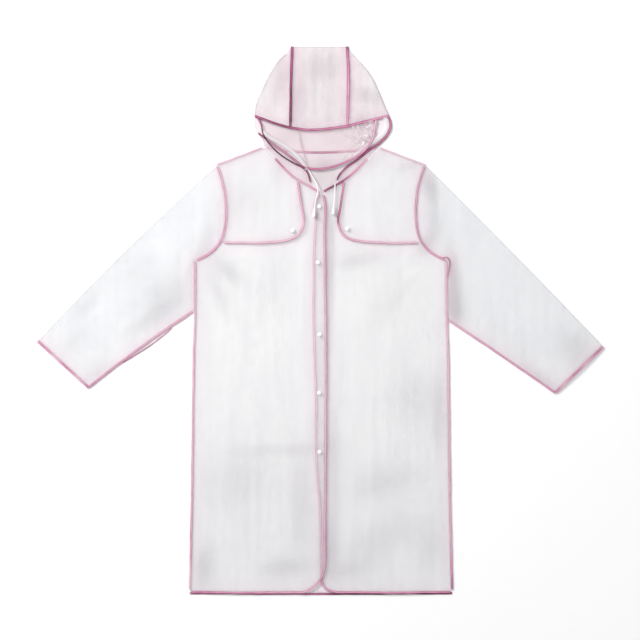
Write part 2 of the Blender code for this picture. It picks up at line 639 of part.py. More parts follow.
make_back()
make_front("right", -1, top_lap_rows, top_lap_corner, top_lap_under)
make_front("left", 1, under_lap_rows, under_lap_corner, front_under)
make_flap("right", -1, top_lap_under)
make_flap("left", 1, front_under)
for side_name, side_sizes in sleeves.items():
    make_sleeve(side_name, side_sizes)
make_hood_strip()
make_hood_side("right", -1)
make_hood_side("left", 1)
make_visor()
for number, spot in enumerate(placket_snaps, 1):
    make_snap(f"snap_{number}", spot, raised(top_lap_under, wall))
make_snap("snap_yoke_right", flap_snaps["right"], raised(top_lap_under, wall, gap, wall))
make_snap("snap_yoke_left", flap_snaps["left"], raised(front_under, wall, gap, wall))
make_cord("right", -1)
make_cord("left", 1)
# The tables above count from the centre front line. This puts the middle of the outline at the origin.
for piece in bpy.data.objects:
    piece.data.transform(Matrix.Translation([step * millimetre for step in to_middle]))
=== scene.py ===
import bpy
import numpy as np
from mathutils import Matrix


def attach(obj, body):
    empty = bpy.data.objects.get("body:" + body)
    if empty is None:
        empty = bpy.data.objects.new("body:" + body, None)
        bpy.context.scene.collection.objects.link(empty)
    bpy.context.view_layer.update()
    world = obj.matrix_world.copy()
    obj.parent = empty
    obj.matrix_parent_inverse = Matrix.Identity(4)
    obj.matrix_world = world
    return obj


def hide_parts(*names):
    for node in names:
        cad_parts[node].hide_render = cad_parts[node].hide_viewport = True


# A hooded raincoat of frosted film, laid flat and seen from straight above.
# Lengths in the tables are millimetres from the centre front line, as the cut is measured.
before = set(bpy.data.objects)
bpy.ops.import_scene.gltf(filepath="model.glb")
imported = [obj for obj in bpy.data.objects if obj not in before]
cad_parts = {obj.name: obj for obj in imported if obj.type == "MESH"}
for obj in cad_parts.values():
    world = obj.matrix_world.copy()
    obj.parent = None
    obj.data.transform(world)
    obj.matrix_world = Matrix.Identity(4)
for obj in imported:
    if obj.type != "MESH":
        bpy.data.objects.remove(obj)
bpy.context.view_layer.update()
print("frame loaded:", len(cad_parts), "nodes")

millimetre = 0.001
toMiddle = (1.5, 2.55, 0.0)  # puts the middle of the outline at the origin

# camera and light, in metres, watts and, for the lens, millimetres
viewpoint = {"height": 6.0, "lens": 150.0, "sensor": 36.0, "middle": (-0.00075, 0.0014)}
camera = bpy.data.objects.new("camera", bpy.data.cameras.new("camera"))
camera.data.lens = viewpoint["lens"]
camera.data.sensor_width = viewpoint["sensor"]
camera.location = (*viewpoint["middle"], viewpoint["height"])
bpy.context.scene.collection.objects.link(camera)
bpy.context.scene.camera = camera

# light has to get down through every layer of film and back, so it may pass many see-through faces
studio = {"colour": (1.0, 1.0, 1.0, 1.0), "strength": 0.53, "seeThroughFaces": 32}
lights = {
    "keyLight": {"place": (-2.8, 2.6, 2.6), "size": 1.4, "watts": 216},
    "fillLight": {"place": (2.8, -1.6, 3.6), "size": 2.6, "watts": 30},
}
for lightName, facts in lights.items():
    lamp = bpy.data.lights.new(lightName, "AREA")
    lamp.size, lamp.energy = facts["size"], facts["watts"]
    lampObject = bpy.data.objects.new(lightName, lamp)
    place = np.array(facts["place"])
    lampObject.location = place
    flat = float(np.hypot(place[0], place[1]))
    tilt, turn = float(np.arctan2(flat, place[2])), float(np.arctan2(place[0], -place[1]))
    lampObject.rotation_euler = (tilt, 0.0, turn)
    bpy.context.scene.collection.objects.link(lampObject)
world = bpy.data.worlds.new("studio")
world.use_nodes = True
world.node_tree.nodes["Background"].inputs["Color"].default_value = studio["colour"]
world.node_tree.nodes["Background"].inputs["Strength"].default_value = studio["strength"]
bpy.context.scene.world = world
bpy.context.scene.view_settings.view_transform = "Standard"
bpy.context.scene.cycles.transparent_max_bounces = studio["seeThroughFaces"]
print("camera and light set")


# shader maths
class Wire:
    # wraps a shader socket, so that sums on values are written as sums
    def __init__(self, tree, socket=None):
        self.tree, self.socket = tree, socket

    def node(self, kind, settings=(), values=(), out=0):
        # adds a node: its settings come first, then the values or links of its sockets
        made = self.tree.nodes.new(kind)
        for name, value in dict(settings).items():
            if name == "stops":
                for number, (place, colour) in enumerate(value):
                    stops = made.color_ramp.elements
                    stop = stops[number] if number < 2 else stops.new(place)
                    stop.position, stop.color = place, (*colour, 1.0)
            else:
                setattr(made, name, value)
        for name, value in dict(values).items():
            if isinstance(value, Wire):
                self.tree.links.new(value.socket, made.inputs[name])
            else:
                made.inputs[name].default_value = value
        return Wire(self.tree, made.outputs[out])

    def maths(self, operation, *values):
        # a Math node on the values given
        return self.node("ShaderNodeMath", {"operation": operation}, enumerate(values))

    def __add__(self, other):
        return self.maths("ADD", self, other)

    def __sub__(self, other):
        return self.maths("SUBTRACT", self, other)

    def __rsub__(self, other):
        return self.maths("SUBTRACT", other, self)

    def __mul__(self, other):
        return self.maths("MULTIPLY", self, other)

    __radd__, __rmul__ = __add__, __mul__

    def between(self, low, high):
        # 0 up to low, 1 from high, and a straight line between them
        return self.node("ShaderNodeMapRange", {"clamp": True}, {0: self, 1: low, 2: high})

    def mixed(self, first, second):
        # a mix of two colours, in which self is the share of the second
        values = {0: self, 6: first, 7: second}
        return self.node("ShaderNodeMix", {"data_type": "RGBA"}, values, out=2)


def tint(red, green, blue):
    # a colour from its three screen values, made linear light by the sRGB curve
    share = np.array([red, green, blue]) / 255
    linear = np.where(share < 0.04045, share / 12.92, ((share + 0.055) / 1.055) ** 2.4)
    return (*[float(value) for value in linear], 1.0)


def newMaterial(name, facts):
    # a material whose shader has the plain values given on its own sockets
    made = bpy.data.materials.new(name)
    made.use_nodes = True
    shader = made.node_tree.nodes["Principled BSDF"]
    for socket, value in facts.items():
        shader.inputs[socket].default_value = value
    return made, Wire(made.node_tree), shader


def plug(shader, socket, wire):
    # links a value that changes over the surface to one of the shader's sockets
    wire.tree.links.new(wire.socket, shader.inputs[socket])


def noise(wire, place, scale, detail=2.0, roughness=0.5):
    # soft random patches, from 0 to 1, about one metre over scale wide
    values = {"Vector": place, "Scale": scale, "Detail": detail, "Roughness": roughness}
    return wire.node("ShaderNodeTexNoise", {}, values)


def objectPlace(wire, stretch=(1.0, 1.0, 1.0), turn=0.0):
    # the place on the object, turned about the vertical and stretched
    place = wire.node("ShaderNodeTexCoord", out=3)
    values = {"Vector": place, "Scale": stretch, "Rotation": (0.0, 0.0, turn)}
    return wire.node("ShaderNodeMapping", {}, values)


def attribute(wire, name):
    # a number that each vertex of the mesh carries
    return wire.node("ShaderNodeAttribute", {"attribute_name": name}, out=2)


def relief(wire, strength, distance, height):
    # a normal tilted by the slope of a height
    return wire.node("ShaderNodeBump", {}, {"Strength": strength, "Distance": distance, "Height": height})


# Frosted film. Colours are screen values, the fourth of them is painted shade, mixed in at the shade patches,
# and layerAlpha is how much one layer of film hides
filmFinishes = {
    "backFilm": {"light": (241, 239, 241), "dark": (220, 218, 221), "blush": (238, 190, 210),
                 "paintedShade": (124, 72, 82), "layerAlpha": 0.36, "roughness": 0.36, "bump": 0.3,
                 "blushShare": 0.35, "hemShade": 0.2},
    "frontFilm": {"light": (254, 255, 255), "dark": (238, 240, 243), "blush": (250, 216, 230),
                  "paintedShade": (140, 132, 138), "layerAlpha": 0.32, "roughness": 0.34, "bump": 0.5,
                  "blushShare": 0.2, "hemShade": 0.55},
    "flapFilm": {"light": (255, 254, 255), "dark": (236, 234, 238), "blush": (250, 214, 230),
                 "paintedShade": (140, 132, 138), "layerAlpha": 0.16, "roughness": 0.34, "bump": 0.5,
                 "blushShare": 0.4, "hemShade": 0.0},
    "sleeveFilm": {"light": (246, 247, 249), "dark": (226, 228, 232), "blush": (248, 214, 228),
                   "paintedShade": (140, 132, 138), "layerAlpha": 0.36, "roughness": 0.34, "bump": 0.5,
                   "blushShare": 0.5, "hemShade": 0.0},
    "hoodFilm": {"light": (250, 245, 247), "dark": (214, 206, 210), "blush": (243, 200, 218),
                 "paintedShade": (146, 120, 128), "layerAlpha": 0.42, "roughness": 0.32, "bump": 0.45,
                 "blushShare": 0.5, "hemShade": 0.0},
    "bandFilm": {"light": (255, 254, 255), "dark": (246, 242, 245), "blush": (252, 232, 241),
                 "paintedShade": (146, 130, 138), "layerAlpha": 0.62, "roughness": 0.30, "bump": 0.25,
                 "blushShare": 0.1, "hemShade": 0.0},
}
# the steep tint and share paint shade on steep places, and the hollow share and alpha set how strongly the
# painted shade patches show
filmLook = {"blotchScale": 7.0, "streakStretch": (70.0, 5.0, 70.0), "streakTurn": 0.03, "grainScale": 700.0,
            "patchStretch": (16.0, 11.0, 16.0), "patchTurn": 0.6, "crumpleStretch": (1.0, 0.6, 1.0),
            "crumpleScale": 80.0, "shadeSpan": (1.07, 2.02), "hemSpan": (0.02, 0.62), "paintedShadeShare": 0.34,
            "paintedShadeAlpha": 0.08, "steepShadeTint": (150, 146, 150), "steepShadeShare": 0.8, "steepAlpha": 0.45,
            "bumpDistance": 0.002}


def makeFilm(name, facts):
    # Milky film. Its shade is a weighted sum of blotches, upright streaks, crumple and the way to the hem.
    # Painted shade patches, painted shade on steep places and a pink cast near a seam, an attribute each,
    # then mix in their own colour.
    # A film has two faces, so each hides as much as gives the layer's share when both are passed.
    faceAlpha = float(1 - np.sqrt(1 - facts["layerAlpha"]))
    made, wire, shader = newMaterial(name, {"IOR": 1.46})
    place = objectPlace(wire)
    blotches = noise(wire, place, filmLook["blotchScale"], 3.0, 0.55)
    upright = objectPlace(wire, filmLook["streakStretch"], filmLook["streakTurn"])
    aslant = objectPlace(wire, filmLook["patchStretch"], filmLook["patchTurn"])
    streaks, patches = noise(wire, upright, 1.0, 2.0, 0.5), noise(wire, aslant, 1.0, 2.0, 0.6)
    grain = noise(wire, place, filmLook["grainScale"], 1.0, 0.5)
    crumple = noise(wire, objectPlace(wire, filmLook["crumpleStretch"]), filmLook["crumpleScale"], 4.0, 0.7)
    height = wire.node("ShaderNodeSeparateXYZ", {}, {0: place}, out=1)
    towardsHem = (0.0 - height).between(*filmLook["hemSpan"]) * facts["hemShade"]
    shade = (blotches * 0.8 + streaks * 0.8 + crumple * 1.1 + towardsHem).between(*filmLook["shadeSpan"])
    colour = shade.mixed(tint(*facts["light"]), tint(*facts["dark"]))
    paintedShade, steep, blush = (attribute(wire, mark) for mark in ("shade", "steep", "blush"))
    # painted shade: the patches' darker colour, then a grey on steep places at folds
    colour = (paintedShade * filmLook["paintedShadeShare"]).mixed(colour, tint(*facts["paintedShade"]))
    colour = (steep * filmLook["steepShadeShare"]).mixed(colour, tint(*filmLook["steepShadeTint"]))
    colour = (blush * facts["blushShare"]).mixed(colour, tint(*facts["blush"]))
    plug(shader, "Base Color", colour)
    plug(shader, "Alpha", steep * filmLook["steepAlpha"] + paintedShade * filmLook["paintedShadeAlpha"] + faceAlpha)
    plug(shader, "Roughness", blotches * 0.2 + (facts["roughness"] - 0.1))
    height = streaks * 0.7 + patches * 1.3 + grain * 0.06
    plug(shader, "Normal", relief(wire, facts["bump"], filmLook["bumpDistance"], height))
    return made


# the crinkles' two side colours are painted shade and a white painted highlight
clearLook = {"crinkleScale": 75.0, "crinkleEdge": (0.02, 0.2), "brokenScale": 110.0,
             "brokenSpan": (0.46, 0.62), "endSpan": (0.03, 0.10), "base": (226, 204, 212),
             "crinkleShade": (196, 180, 188), "crinkleHighlight": (255, 255, 255), "alpha": 0.12, "crinkleAlpha": 0.55}


def makeClearFilm():
    # Clear film: it hardly colours what is under it. Towards one end, thin crinkles show along the edges of
    # random cells, broken by noise, each stretch of them painted darker or lighter than the film, as painted
    # shade and painted highlight on the crinkles.
    made, wire, shader = newMaterial("clearFilm", {"IOR": 1.5, "Specular IOR Level": 0.8})
    place = objectPlace(wire)
    crinkles = wire.node("ShaderNodeTexVoronoi", {"feature": "DISTANCE_TO_EDGE"},
                         {"Vector": place, "Scale": clearLook["crinkleScale"]})
    waves = noise(wire, place, 38.0, 3.0, 0.6)
    near = wire.node("ShaderNodeSeparateXYZ", {}, {0: place}, out=0).between(*clearLook["endSpan"])
    broken = noise(wire, place, clearLook["brokenScale"], 2.0, 0.6).between(*clearLook["brokenSpan"])
    sharp = (1 - crinkles.between(*clearLook["crinkleEdge"])) * near * broken
    # painted highlight and painted shade: noise gives each stretch of crinkle a white glint or a darker shade
    # colour
    side = noise(wire, place, 60.0, 1.0, 0.5).between(0.45, 0.55)
    crinkleHighlightAndShade = side.mixed(tint(*clearLook["crinkleShade"]), tint(*clearLook["crinkleHighlight"]))
    plug(shader, "Base Color", sharp.mixed(tint(*clearLook["base"]), crinkleHighlightAndShade))
    plug(shader, "Alpha", sharp * clearLook["crinkleAlpha"] + clearLook["alpha"])
    plug(shader, "Roughness", waves * 0.12 + 0.06)
    plug(shader, "Normal", relief(wire, 0.6, 0.003, waves * (near * 1.2 + 0.5) + sharp * 0.5))
    return made


# The depth of a tape's pink runs from 0 to 1: each stop is a depth and its screen values. The last, near
# black, also gives the painted shadow along the back hem.
tapeLook = {"stops": [(0.0, (238, 208, 222)), (0.35, (222, 150, 184)), (0.7, (196, 80, 142)),
                      (1.0, (78, 24, 48))],
            "patchScale": 55.0, "patchShare": 0.5, "edgeShadeSpan": (0.1, 0.45), "edgeShadeShare": 0.6, "offset": 0.598,
            "shader": {"Alpha": 0.68, "IOR": 1.48, "Coat Weight": 0.3, "Coat Roughness": 0.12}}


def makeTape():
    # Glossy binding. Its depth of pink is the depth attribute, plus a share of soft patches, plus a share of
    # painted shade along both edges, which leaves the middle lighter as a painted highlight, less an offset.
    # The patches also make its gloss and its surface uneven.
    made, wire, shader = newMaterial("pinkTape", tapeLook["shader"])
    patchy = noise(wire, objectPlace(wire), tapeLook["patchScale"], 3.0, 0.6)
    offMiddle = attribute(wire, "across") - 0.5
    # painted shade: the pink deepens towards both edges of the tape
    edgeShade = offMiddle.maths("ABSOLUTE", offMiddle).between(*tapeLook["edgeShadeSpan"])
    depth = attribute(wire, "depth") + patchy * tapeLook["patchShare"] + edgeShade * tapeLook["edgeShadeShare"]
    stops = [(place, tint(*values)[:3]) for place, values in tapeLook["stops"]]
    ramp = wire.node("ShaderNodeValToRGB", {"stops": stops}, {0: depth - tapeLook["offset"]})
    plug(shader, "Base Color", ramp)
    plug(shader, "Roughness", patchy * 0.25 + 0.18)
    plug(shader, "Normal", relief(wire, 0.5, 0.0006, patchy * 0.4))
    return made


plasticLook = {"cloudScale": 120.0, "scuffScale": 900.0, "pale": (252, 252, 252), "cloud": (236, 236, 238),
               "shader": {"IOR": 1.49, "Coat Weight": 0.25, "Coat Roughness": 0.1}}


def makeWhitePlastic():
    # Moulded plastic, with faint clouding in its colour and small scuffs in its gloss and surface
    made, wire, shader = newMaterial("whitePlastic", plasticLook["shader"])
    place = objectPlace(wire)
    clouds = noise(wire, place, plasticLook["cloudScale"], 2.0, 0.5)
    scuffs = noise(wire, place, plasticLook["scuffScale"], 2.0, 0.7)
    plug(shader, "Base Color", clouds.mixed(tint(*plasticLook["pale"]), tint(*plasticLook["cloud"])))
    plug(shader, "Roughness", scuffs * 0.2 + 0.22)
    plug(shader, "Normal", relief(wire, 0.2, 0.0004, scuffs))
    return made


# the cord is a plain matt white: one colour, one roughness and a little sheen
cordLook = {"Base Color": tint(242.7, 240.8, 241.4), "Roughness": 0.852, "IOR": 1.45, "Sheen Weight": 0.2}
finishes = {name: makeFilm(name, facts) for name, facts in filmFinishes.items()}
finishes["clearFilm"] = makeClearFilm()
finishes["pinkTape"] = makeTape()
finishes["whitePlastic"] = makeWhitePlastic()
finishes["whiteCord"] = newMaterial("whiteCord", cordLook)[0]
print("finishes made")


# lines and grids
def ease(t):
    # from 0 to 1, level at both ends: three squares less two cubes
    t = np.clip(t, 0.0, 1.0)
    return t * t * (3 - 2 * t)


def lengthsAlong(line):
    # how far along a line each of its points lies: the running sum of its steps
    return np.concatenate([[0.0], np.cumsum(np.linalg.norm(np.diff(line, axis=0), axis=1))])


def resample(line, count):
    # the same line with its points at even distances
    along = lengthsAlong(line)
    wanted = np.linspace(0.0, along[-1], count)
    return np.stack([np.interp(wanted, along, column) for column in line.T], axis=1)


def curve(rows, count):
    # a cubic between each two rows, with slopes taken from their neighbours
    rows = np.array(rows, float)
    along = lengthsAlong(rows)
    if len(rows) == 2:
        return resample(rows, count)
    slopes = np.stack([np.gradient(column, along) for column in rows.T], axis=1)
    at = np.linspace(0.0, along[-1], 60 * len(rows))
    i = np.clip(np.searchsorted(along, at, "right") - 1, 0, len(along) - 2)
    span = (along[i + 1] - along[i])[:, None]
    t = (at - along[i])[:, None] / span
    fine = (rows[i] * (2 * t**3 - 3 * t**2 + 1) + slopes[i] * span * (t**3 - 2 * t**2 + t)
            + rows[i + 1] * (3 * t**2 - 2 * t**3) + slopes[i + 1] * span * (t**3 - t**2))
    return resample(fine, count)


def unit(ways):
    # each row divided by its length
    return ways / np.linalg.norm(ways, axis=1)[:, None]


def toRight(line):
    # steps of length one, square to a line and to its right
    slope = unit(np.gradient(line, axis=0))
    return np.stack([slope[:, 1], -slope[:, 0]], axis=1)


def beside(line, distance):
    # a line at an even distance to the left of another
    return line - toRight(line) * distance


def mirrored(rows, sign):
    # rows for one side of the coat: every x times that side's sign
    return np.array(rows, float) * (sign, 1)


def above(line, height, axis=1):
    # the stretch of a falling line that lies above a height
    kept = line[line[:, axis] > height]
    if len(kept) == len(line):
        return line
    nextPoint = line[len(kept)]
    share = (kept[-1, axis] - height) / (kept[-1, axis] - nextPoint[axis])
    return np.concatenate([kept, [kept[-1] + (nextPoint - kept[-1]) * share]])


def trimmed(line, start, end):
    # a line without its first and last few millimetres
    for length in (start, end):
        along = lengthsAlong(line)
        first = np.array([np.interp(length, along, column) for column in line.T])
        line = np.concatenate([[first], line[along > length]])[::-1]
    return line


leastTurn = 0.04  # the sine of the smallest turn that counts as a corner


def insetPatch(top, right, bottom, left, insets):
    # A Coons patch: the sum of the blends between both pairs of edges, less the blend of the corners.
    # Each edge first moves inwards by its own distance, and neighbours meet where their moved lines cross.
    # top and bottom run left to right, left and right run top to bottom.
    across, down = len(top), len(left)
    loop = np.concatenate([top[:-1], right[:-1], bottom[::-1][:-1], left[::-1][:-1]])
    edgeInset = np.repeat(np.array(insets, float), [across - 1, down - 1, across - 1, down - 1])
    ahead = unit(np.roll(loop, -1, axis=0) - loop)
    normal = np.stack([ahead[:, 1], -ahead[:, 0]], axis=1)
    before, beforeInset = np.roll(normal, 1, axis=0), np.roll(edgeInset, 1)
    cross = before[:, 0] * normal[:, 1] - before[:, 1] * normal[:, 0]
    smoothTurn = np.abs(cross) < leastTurn
    cross = np.where(smoothTurn, 1.0, cross)
    move = np.stack([(beforeInset * normal[:, 1] - edgeInset * before[:, 1]) / cross,
                     (edgeInset * before[:, 0] - beforeInset * normal[:, 0]) / cross], axis=1)
    plain = normal * np.maximum(edgeInset, beforeInset)[:, None]
    loop = loop + np.where(smoothTurn[:, None], plain, move)
    loop = np.concatenate([loop, loop[:1]])
    a, b, c = across - 1, across + down - 2, 2 * across + down - 3
    top, right, bottom, left = loop[: a + 1], loop[a: b + 1], loop[b: c + 1][::-1], loop[c:][::-1]
    u = np.linspace(0, 1, across)[None, :, None]
    v = np.linspace(0, 1, down)[:, None, None]
    edges = (1 - v) * top[None] + v * bottom[None] + (1 - u) * left[:, None] + u * right[:, None]
    corners = (1 - v) * ((1 - u) * top[0] + u * top[-1]) + v * ((1 - u) * bottom[0] + u * bottom[-1])
    return edges - corners


def relaxed(grid, rounds):
    # Inverse harmonic smoothing inside fixed edges: each point moves to the mean of its four neighbours,
    # each pair weighted by the other's spacing, less the twist. It opens a grid that folds over itself.
    grid = grid.copy()
    for _ in range(rounds):
        down, over = (grid[2:, 1:-1] - grid[:-2, 1:-1]) / 2, (grid[1:-1, 2:] - grid[1:-1, :-2]) / 2
        pairs = ((down, down), (over, over), (down, over))
        downs, overs, both = ((a * b).sum(2, keepdims=True) for a, b in pairs)
        twist = grid[2:, 2:] + grid[:-2, :-2] - grid[2:, :-2] - grid[:-2, 2:]
        moved = (overs * (grid[2:, 1:-1] + grid[:-2, 1:-1]) + downs * (grid[1:-1, 2:] + grid[1:-1, :-2])
                 - both * twist / 2)
        grid[1:-1, 1:-1] = moved / (2 * (downs + overs))
    return grid


# heights of the layers, from the floor up
layers = {"wall": 1.2, "gap": 0.3, "film": 0.5, "tapeWidth": 4.6, "tapeProud": 0.7, "tapeFoot": 0.3,
          "bodyRise": 1.3, "riseRun": 110.0, "lapStarts": -66.0, "lapDone": -24.0, "creaseRun": 34.0,
          "hoodRise": 1.9, "hoodHalfWidth": 150.0, "crown": 614.0, "backTop": 0.85, "softening": 0.4}
wall, gap, tapeWidth, tapeProud, tapeFoot = (layers[name] for name in
                                             ("wall", "gap", "tapeWidth", "tapeProud", "tapeFoot"))
seamInset = tapeWidth / 2 + gap
upperUnder = wall + gap
lapLift = wall + tapeProud + gap

shoulderTip, neckPoint, underarmPoint = (234.0, 348.0), (128.0, 388.0), (283.0, 131.0)
armholeRows = [shoulderTip, (224, 320), (216, 287), (213, 240), (216, 205), (224, 178), (243, 154),
               underarmPoint]
sideRows = [underarmPoint, (283, 24), (286, -82), (288, -226), (290, -393), (295, -613)]
frontNeckRows = [neckPoint, (112, 372), (96, 354), (81, 338), (64, 322), (45, 309), (24, 298), (3, 286)]
backNeckRows = [neckPoint, (84, 381), (38, 377), (0, 375)]
armholeLine, sideLine = curve(armholeRows, 53), curve(sideRows, 121)
neckLine, backNeckLine = curve(frontNeckRows, 45), curve(backNeckRows, 25)

# Creases: (x, height, degrees from upright, half length, half width, rise)
bodyCreases = [
    (-205, -260, 4, 190, 16, 0.9), (-120, -60, -3, 210, 22, 0.7), (-62, -390, 2, 150, 14, 0.8),
    (-238, 40, 8, 80, 12, -0.6), (95, -120, -4, 190, 20, 0.7), (180, -330, 3, 200, 18, 0.9),
    (240, 20, -9, 90, 12, -0.6), (60, -450, 0, 120, 14, 0.7), (-215, 105, -48, 70, 12, 1.3),
    (-185, 62, -36, 85, 9, -0.9), (-150, 132, -62, 60, 8, 1.0), (-225, 70, -25, 70, 8, 0.9),
    (214, 104, 46, 74, 12, 1.3), (188, 52, 36, 84, 9, -0.9), (160, 140, 60, 58, 8, 1.0),
    (-150, -420, 1, 120, 8, 0.9), (-100, -470, -2, 100, 7, 0.8), (-40, -300, 0, 180, 7, 0.8),
    (40, -200, 1, 220, 8, 1.0), (75, -380, -1, 150, 7, 0.8), (112, -430, 2, 130, 8, 1.0),
    (150, -250, -2, 170, 9, 0.8), (215, -400, -1, 130, 9, 1.0), (246, -500, 4, 90, 9, 0.9),
    (-250, -420, -2, 140, 9, 0.9), (-225, -566, 24, 44, 12, 1.2), (190, -345, 80, 70, 8, 0.9),
    (148, -380, 74, 60, 7, -0.7), (-160, -300, 86, 84, 9, 0.7), (-140, -545, 88, 60, 8, 0.8),
    (-62, -556, 66, 52, 12, 1.3), (-150, 286, 10, 60, 15, 0.8), (-92, 330, -26, 48, 11, 0.9),
    (150, 288, -8, 60, 15, 0.8), (96, 334, 26, 45, 11, 0.9), (-40, 120, 3, 160, 8, 0.9),
    (46, 150, -2, 150, 9, 1.1), (28, 30, 1, 150, 7, -0.7), (-120, 200, 40, 60, 10, 0.8),
    (120, 210, -34, 60, 10, 0.8), (-90, 20, 20, 110, 9, 0.7), (130, -20, -16, 120, 9, 0.7),
    (30, -560, -64, 40, 10, 0.9), (225, -250, 12, 90, 8, 0.8), (-265, -180, 3, 130, 7, 0.8),
    (262, -170, -4, 130, 7, 0.8), (-190, -140, -12, 100, 8, -0.6), (60, -40, 14, 90, 8, 0.6),
]
sleeveCreases = [
    (-330, 150, 45, 110, 15, 1.1), (-400, 60, 50, 120, 13, 0.9), (-450, -10, 40, 90, 11, -0.7),
    (-560, -60, -42, 46, 10, 1.2), (-500, -108, 52, 60, 9, 1.0), (-300, 120, 30, 70, 9, 1.0),
    (-262, 205, 6, 90, 12, 1.0), (-420, 118, 52, 90, 12, 0.7), (-350, 42, 62, 60, 8, 0.9),
    (-540, -20, 48, 60, 9, 0.8), (-290, 60, 12, 60, 8, 1.0), (-470, 30, 58, 60, 8, 0.6),
    (244, 214, -6, 90, 14, -1.2), (262, 172, -10, 100, 12, 1.3), (300, 92, -20, 90, 13, 1.3),
    (330, 60, -55, 90, 12, 0.9), (430, -20, -52, 120, 13, 0.9), (540, -80, -45, 90, 10, 1.0),
    (400, 82, -48, 140, 15, 0.8), (470, 2, -44, 80, 9, -0.6), (300, 30, -60, 60, 8, 1.0),
    (360, 130, -42, 90, 10, 0.7), (560, -40, 44, 44, 9, 0.9), (290, 140, -14, 70, 8, -0.8),
]
hoodCreases = [
    (108, 497, 108, 34, 7, 1.2), (92, 514, 118, 30, 6, -0.6), (-20, 520, 2, 80, 13, 0.5),
    (26, 540, -3, 70, 11, -0.4), (-106, 520, 22, 60, 13, 0.7), (102, 560, -28, 50, 9, 0.7),
    (-100, 466, -70, 34, 8, 0.7), (40, 470, 80, 44, 7, 0.5), (-40, 452, 86, 40, 7, 0.5),
    (120, 470, -40, 26, 6, 0.8), (10, 590, 88, 40, 8, 0.5),
]

# Soft patches of painted shade: (x, height, degrees from upright, half length, half width, depth)
paintedShadePatches = [
    (-210, 111, -48, 46, 20, 0.5), (-228, 56, -20, 50, 16, 0.4), (-98, 89, 10, 70, 40, 0.15),
    (-262, -556, 10, 56, 26, 0.5), (-82, -556, 80, 52, 22, 0.5), (-193, -361, 0, 60, 90, 0.3),
    (-46, -395, 0, 120, 26, 0.4), (-92, -293, 88, 110, 14, 0.3), (26, -338, 0, 160, 16, 0.45),
    (16, -518, 0, 66, 22, 0.5), (212, -181, 20, 66, 60, 0.3), (268, -215, 2, 90, 18, 0.4),
    (144, -361, 70, 80, 40, 0.3), (133, -496, 60, 80, 44, 0.35), (245, -507, 10, 60, 36, 0.3),
    (66, -563, 80, 54, 22, 0.3), (88, 134, 80, 62, 18, 0.4), (20, 90, 0, 100, 10, 0.6),
    (21, 213, 0, 70, 11, 0.6), (155, 44, 40, 60, 36, 0.2), (-92, 336, 20, 34, 26, 0.25),
    (-193, 269, 0, 46, 40, 0.15), (110, 359, 60, 34, 18, 0.3), (200, 347, 70, 34, 12, 0.3),
    (-48, 269, 0, 54, 10, 0.25), (-553, -46, 40, 44, 30, 0.25), (-508, -113, 40, 32, 20, 0.3),
    (-531, 33, 45, 50, 20, 0.3), (-340, 55, 55, 64, 28, 0.3), (-261, 156, 10, 60, 26, 0.25),
    (-385, -1, 58, 70, 18, 0.35), (245, 302, -14, 38, 18, 0.8), (254, 222, -6, 56, 17, 0.5),
    (236, 168, 30, 34, 16, 0.6), (297, 89, -4, 66, 15, 1.0), (302, 20, -8, 40, 17, 0.9),
    (346, 44, -40, 66, 36, 0.05), (493, -136, -55, 60, 18, 0.5), (572, -68, -42, 50, 36, 0.4),
    (403, 89, -48, 80, 34, -0.1), (-2, 573, 80, 46, 36, 0.45), (-48, 494, 0, 60, 20, 0.45),
    (-92, 528, 14, 50, 18, 0.5), (110, 505, 100, 44, 16, 0.5), (88, 449, 70, 40, 14, 0.3),
    (22, 480, 0, 60, 24, 0.2), (-42, 389, -13.3, 40, 4, 1.0), (-80, 412, 60, 44, 22, 0.45),
    (-150, 260, 0, 70, 60, 0.1), (-400, 90, -48, 150, 60, 0.22), (9, 322, 0, 30, 34, 1.4),
    (10, 352, 90, 60, 16, 0.4), (30, 410, 90, 80, 26, 0.25), (92, 412, 0, 30, 26, 0.25),
]

# Low ripples in each surface: (height, size, seed)
ripples = {"front": (0.18, 13.0, 1.0), "back": (0.28, 17.0, 2.5), "sleeve": (0.2, 12.0, 3.0),
           "hood": (0.2, 11.0, 4.0), "stripBack": (0.2, 12.0, 5.0), "sideBack": (0.25, 12.0, 6.0),
           "visor": (0.35, 9.0, 7.0)}


def creaseLift(x, y, rows):
    # each crease is a ridge or trough: its rise times a bell along it times a bell across it
    lift = np.zeros(np.shape(x))
    for creaseX, creaseY, degrees, halfLength, halfWidth, rise in rows:
        turn = np.radians(degrees)
        along = (y - creaseY) * np.cos(turn) + (x - creaseX) * np.sin(turn)
        across = (x - creaseX) * np.cos(turn) - (y - creaseY) * np.sin(turn)
        lift = lift + rise * np.exp(-((across / halfWidth) ** 2) - (along / halfLength) ** 2)
    return lift


def ripple(x, y, name):
    # an uneven low ripple: its height times the mean of three sine waves that run different ways
    height, size, seed = ripples[name]
    a = np.sin(x / size * 1.3 + y / size * 0.7 + seed)
    b = np.sin(x / size * 0.5 - y / size * 1.1 + 2.1 * seed)
    c = np.sin(x / size * 2.2 + np.sin(y / size * 0.8 + seed) * 1.7)
    return height * (a + b + c) / 3


def edgeShare(x, y, run):
    # 0 at the body's outline and 1 once further in than the run: an ease from the side times one from above
    rows = np.array((armholeRows + sideRows[1:])[::-1], float)
    half = np.interp(y, rows[:, 1], rows[:, 0])
    slope = (neckPoint[1] - shoulderTip[1]) / (neckPoint[0] - shoulderTip[0])
    shoulder = neckPoint[1] + np.maximum(np.abs(x) - neckPoint[0], 0) * slope
    return ease((half - np.abs(x)) / run) * ease((shoulder - y) / run)


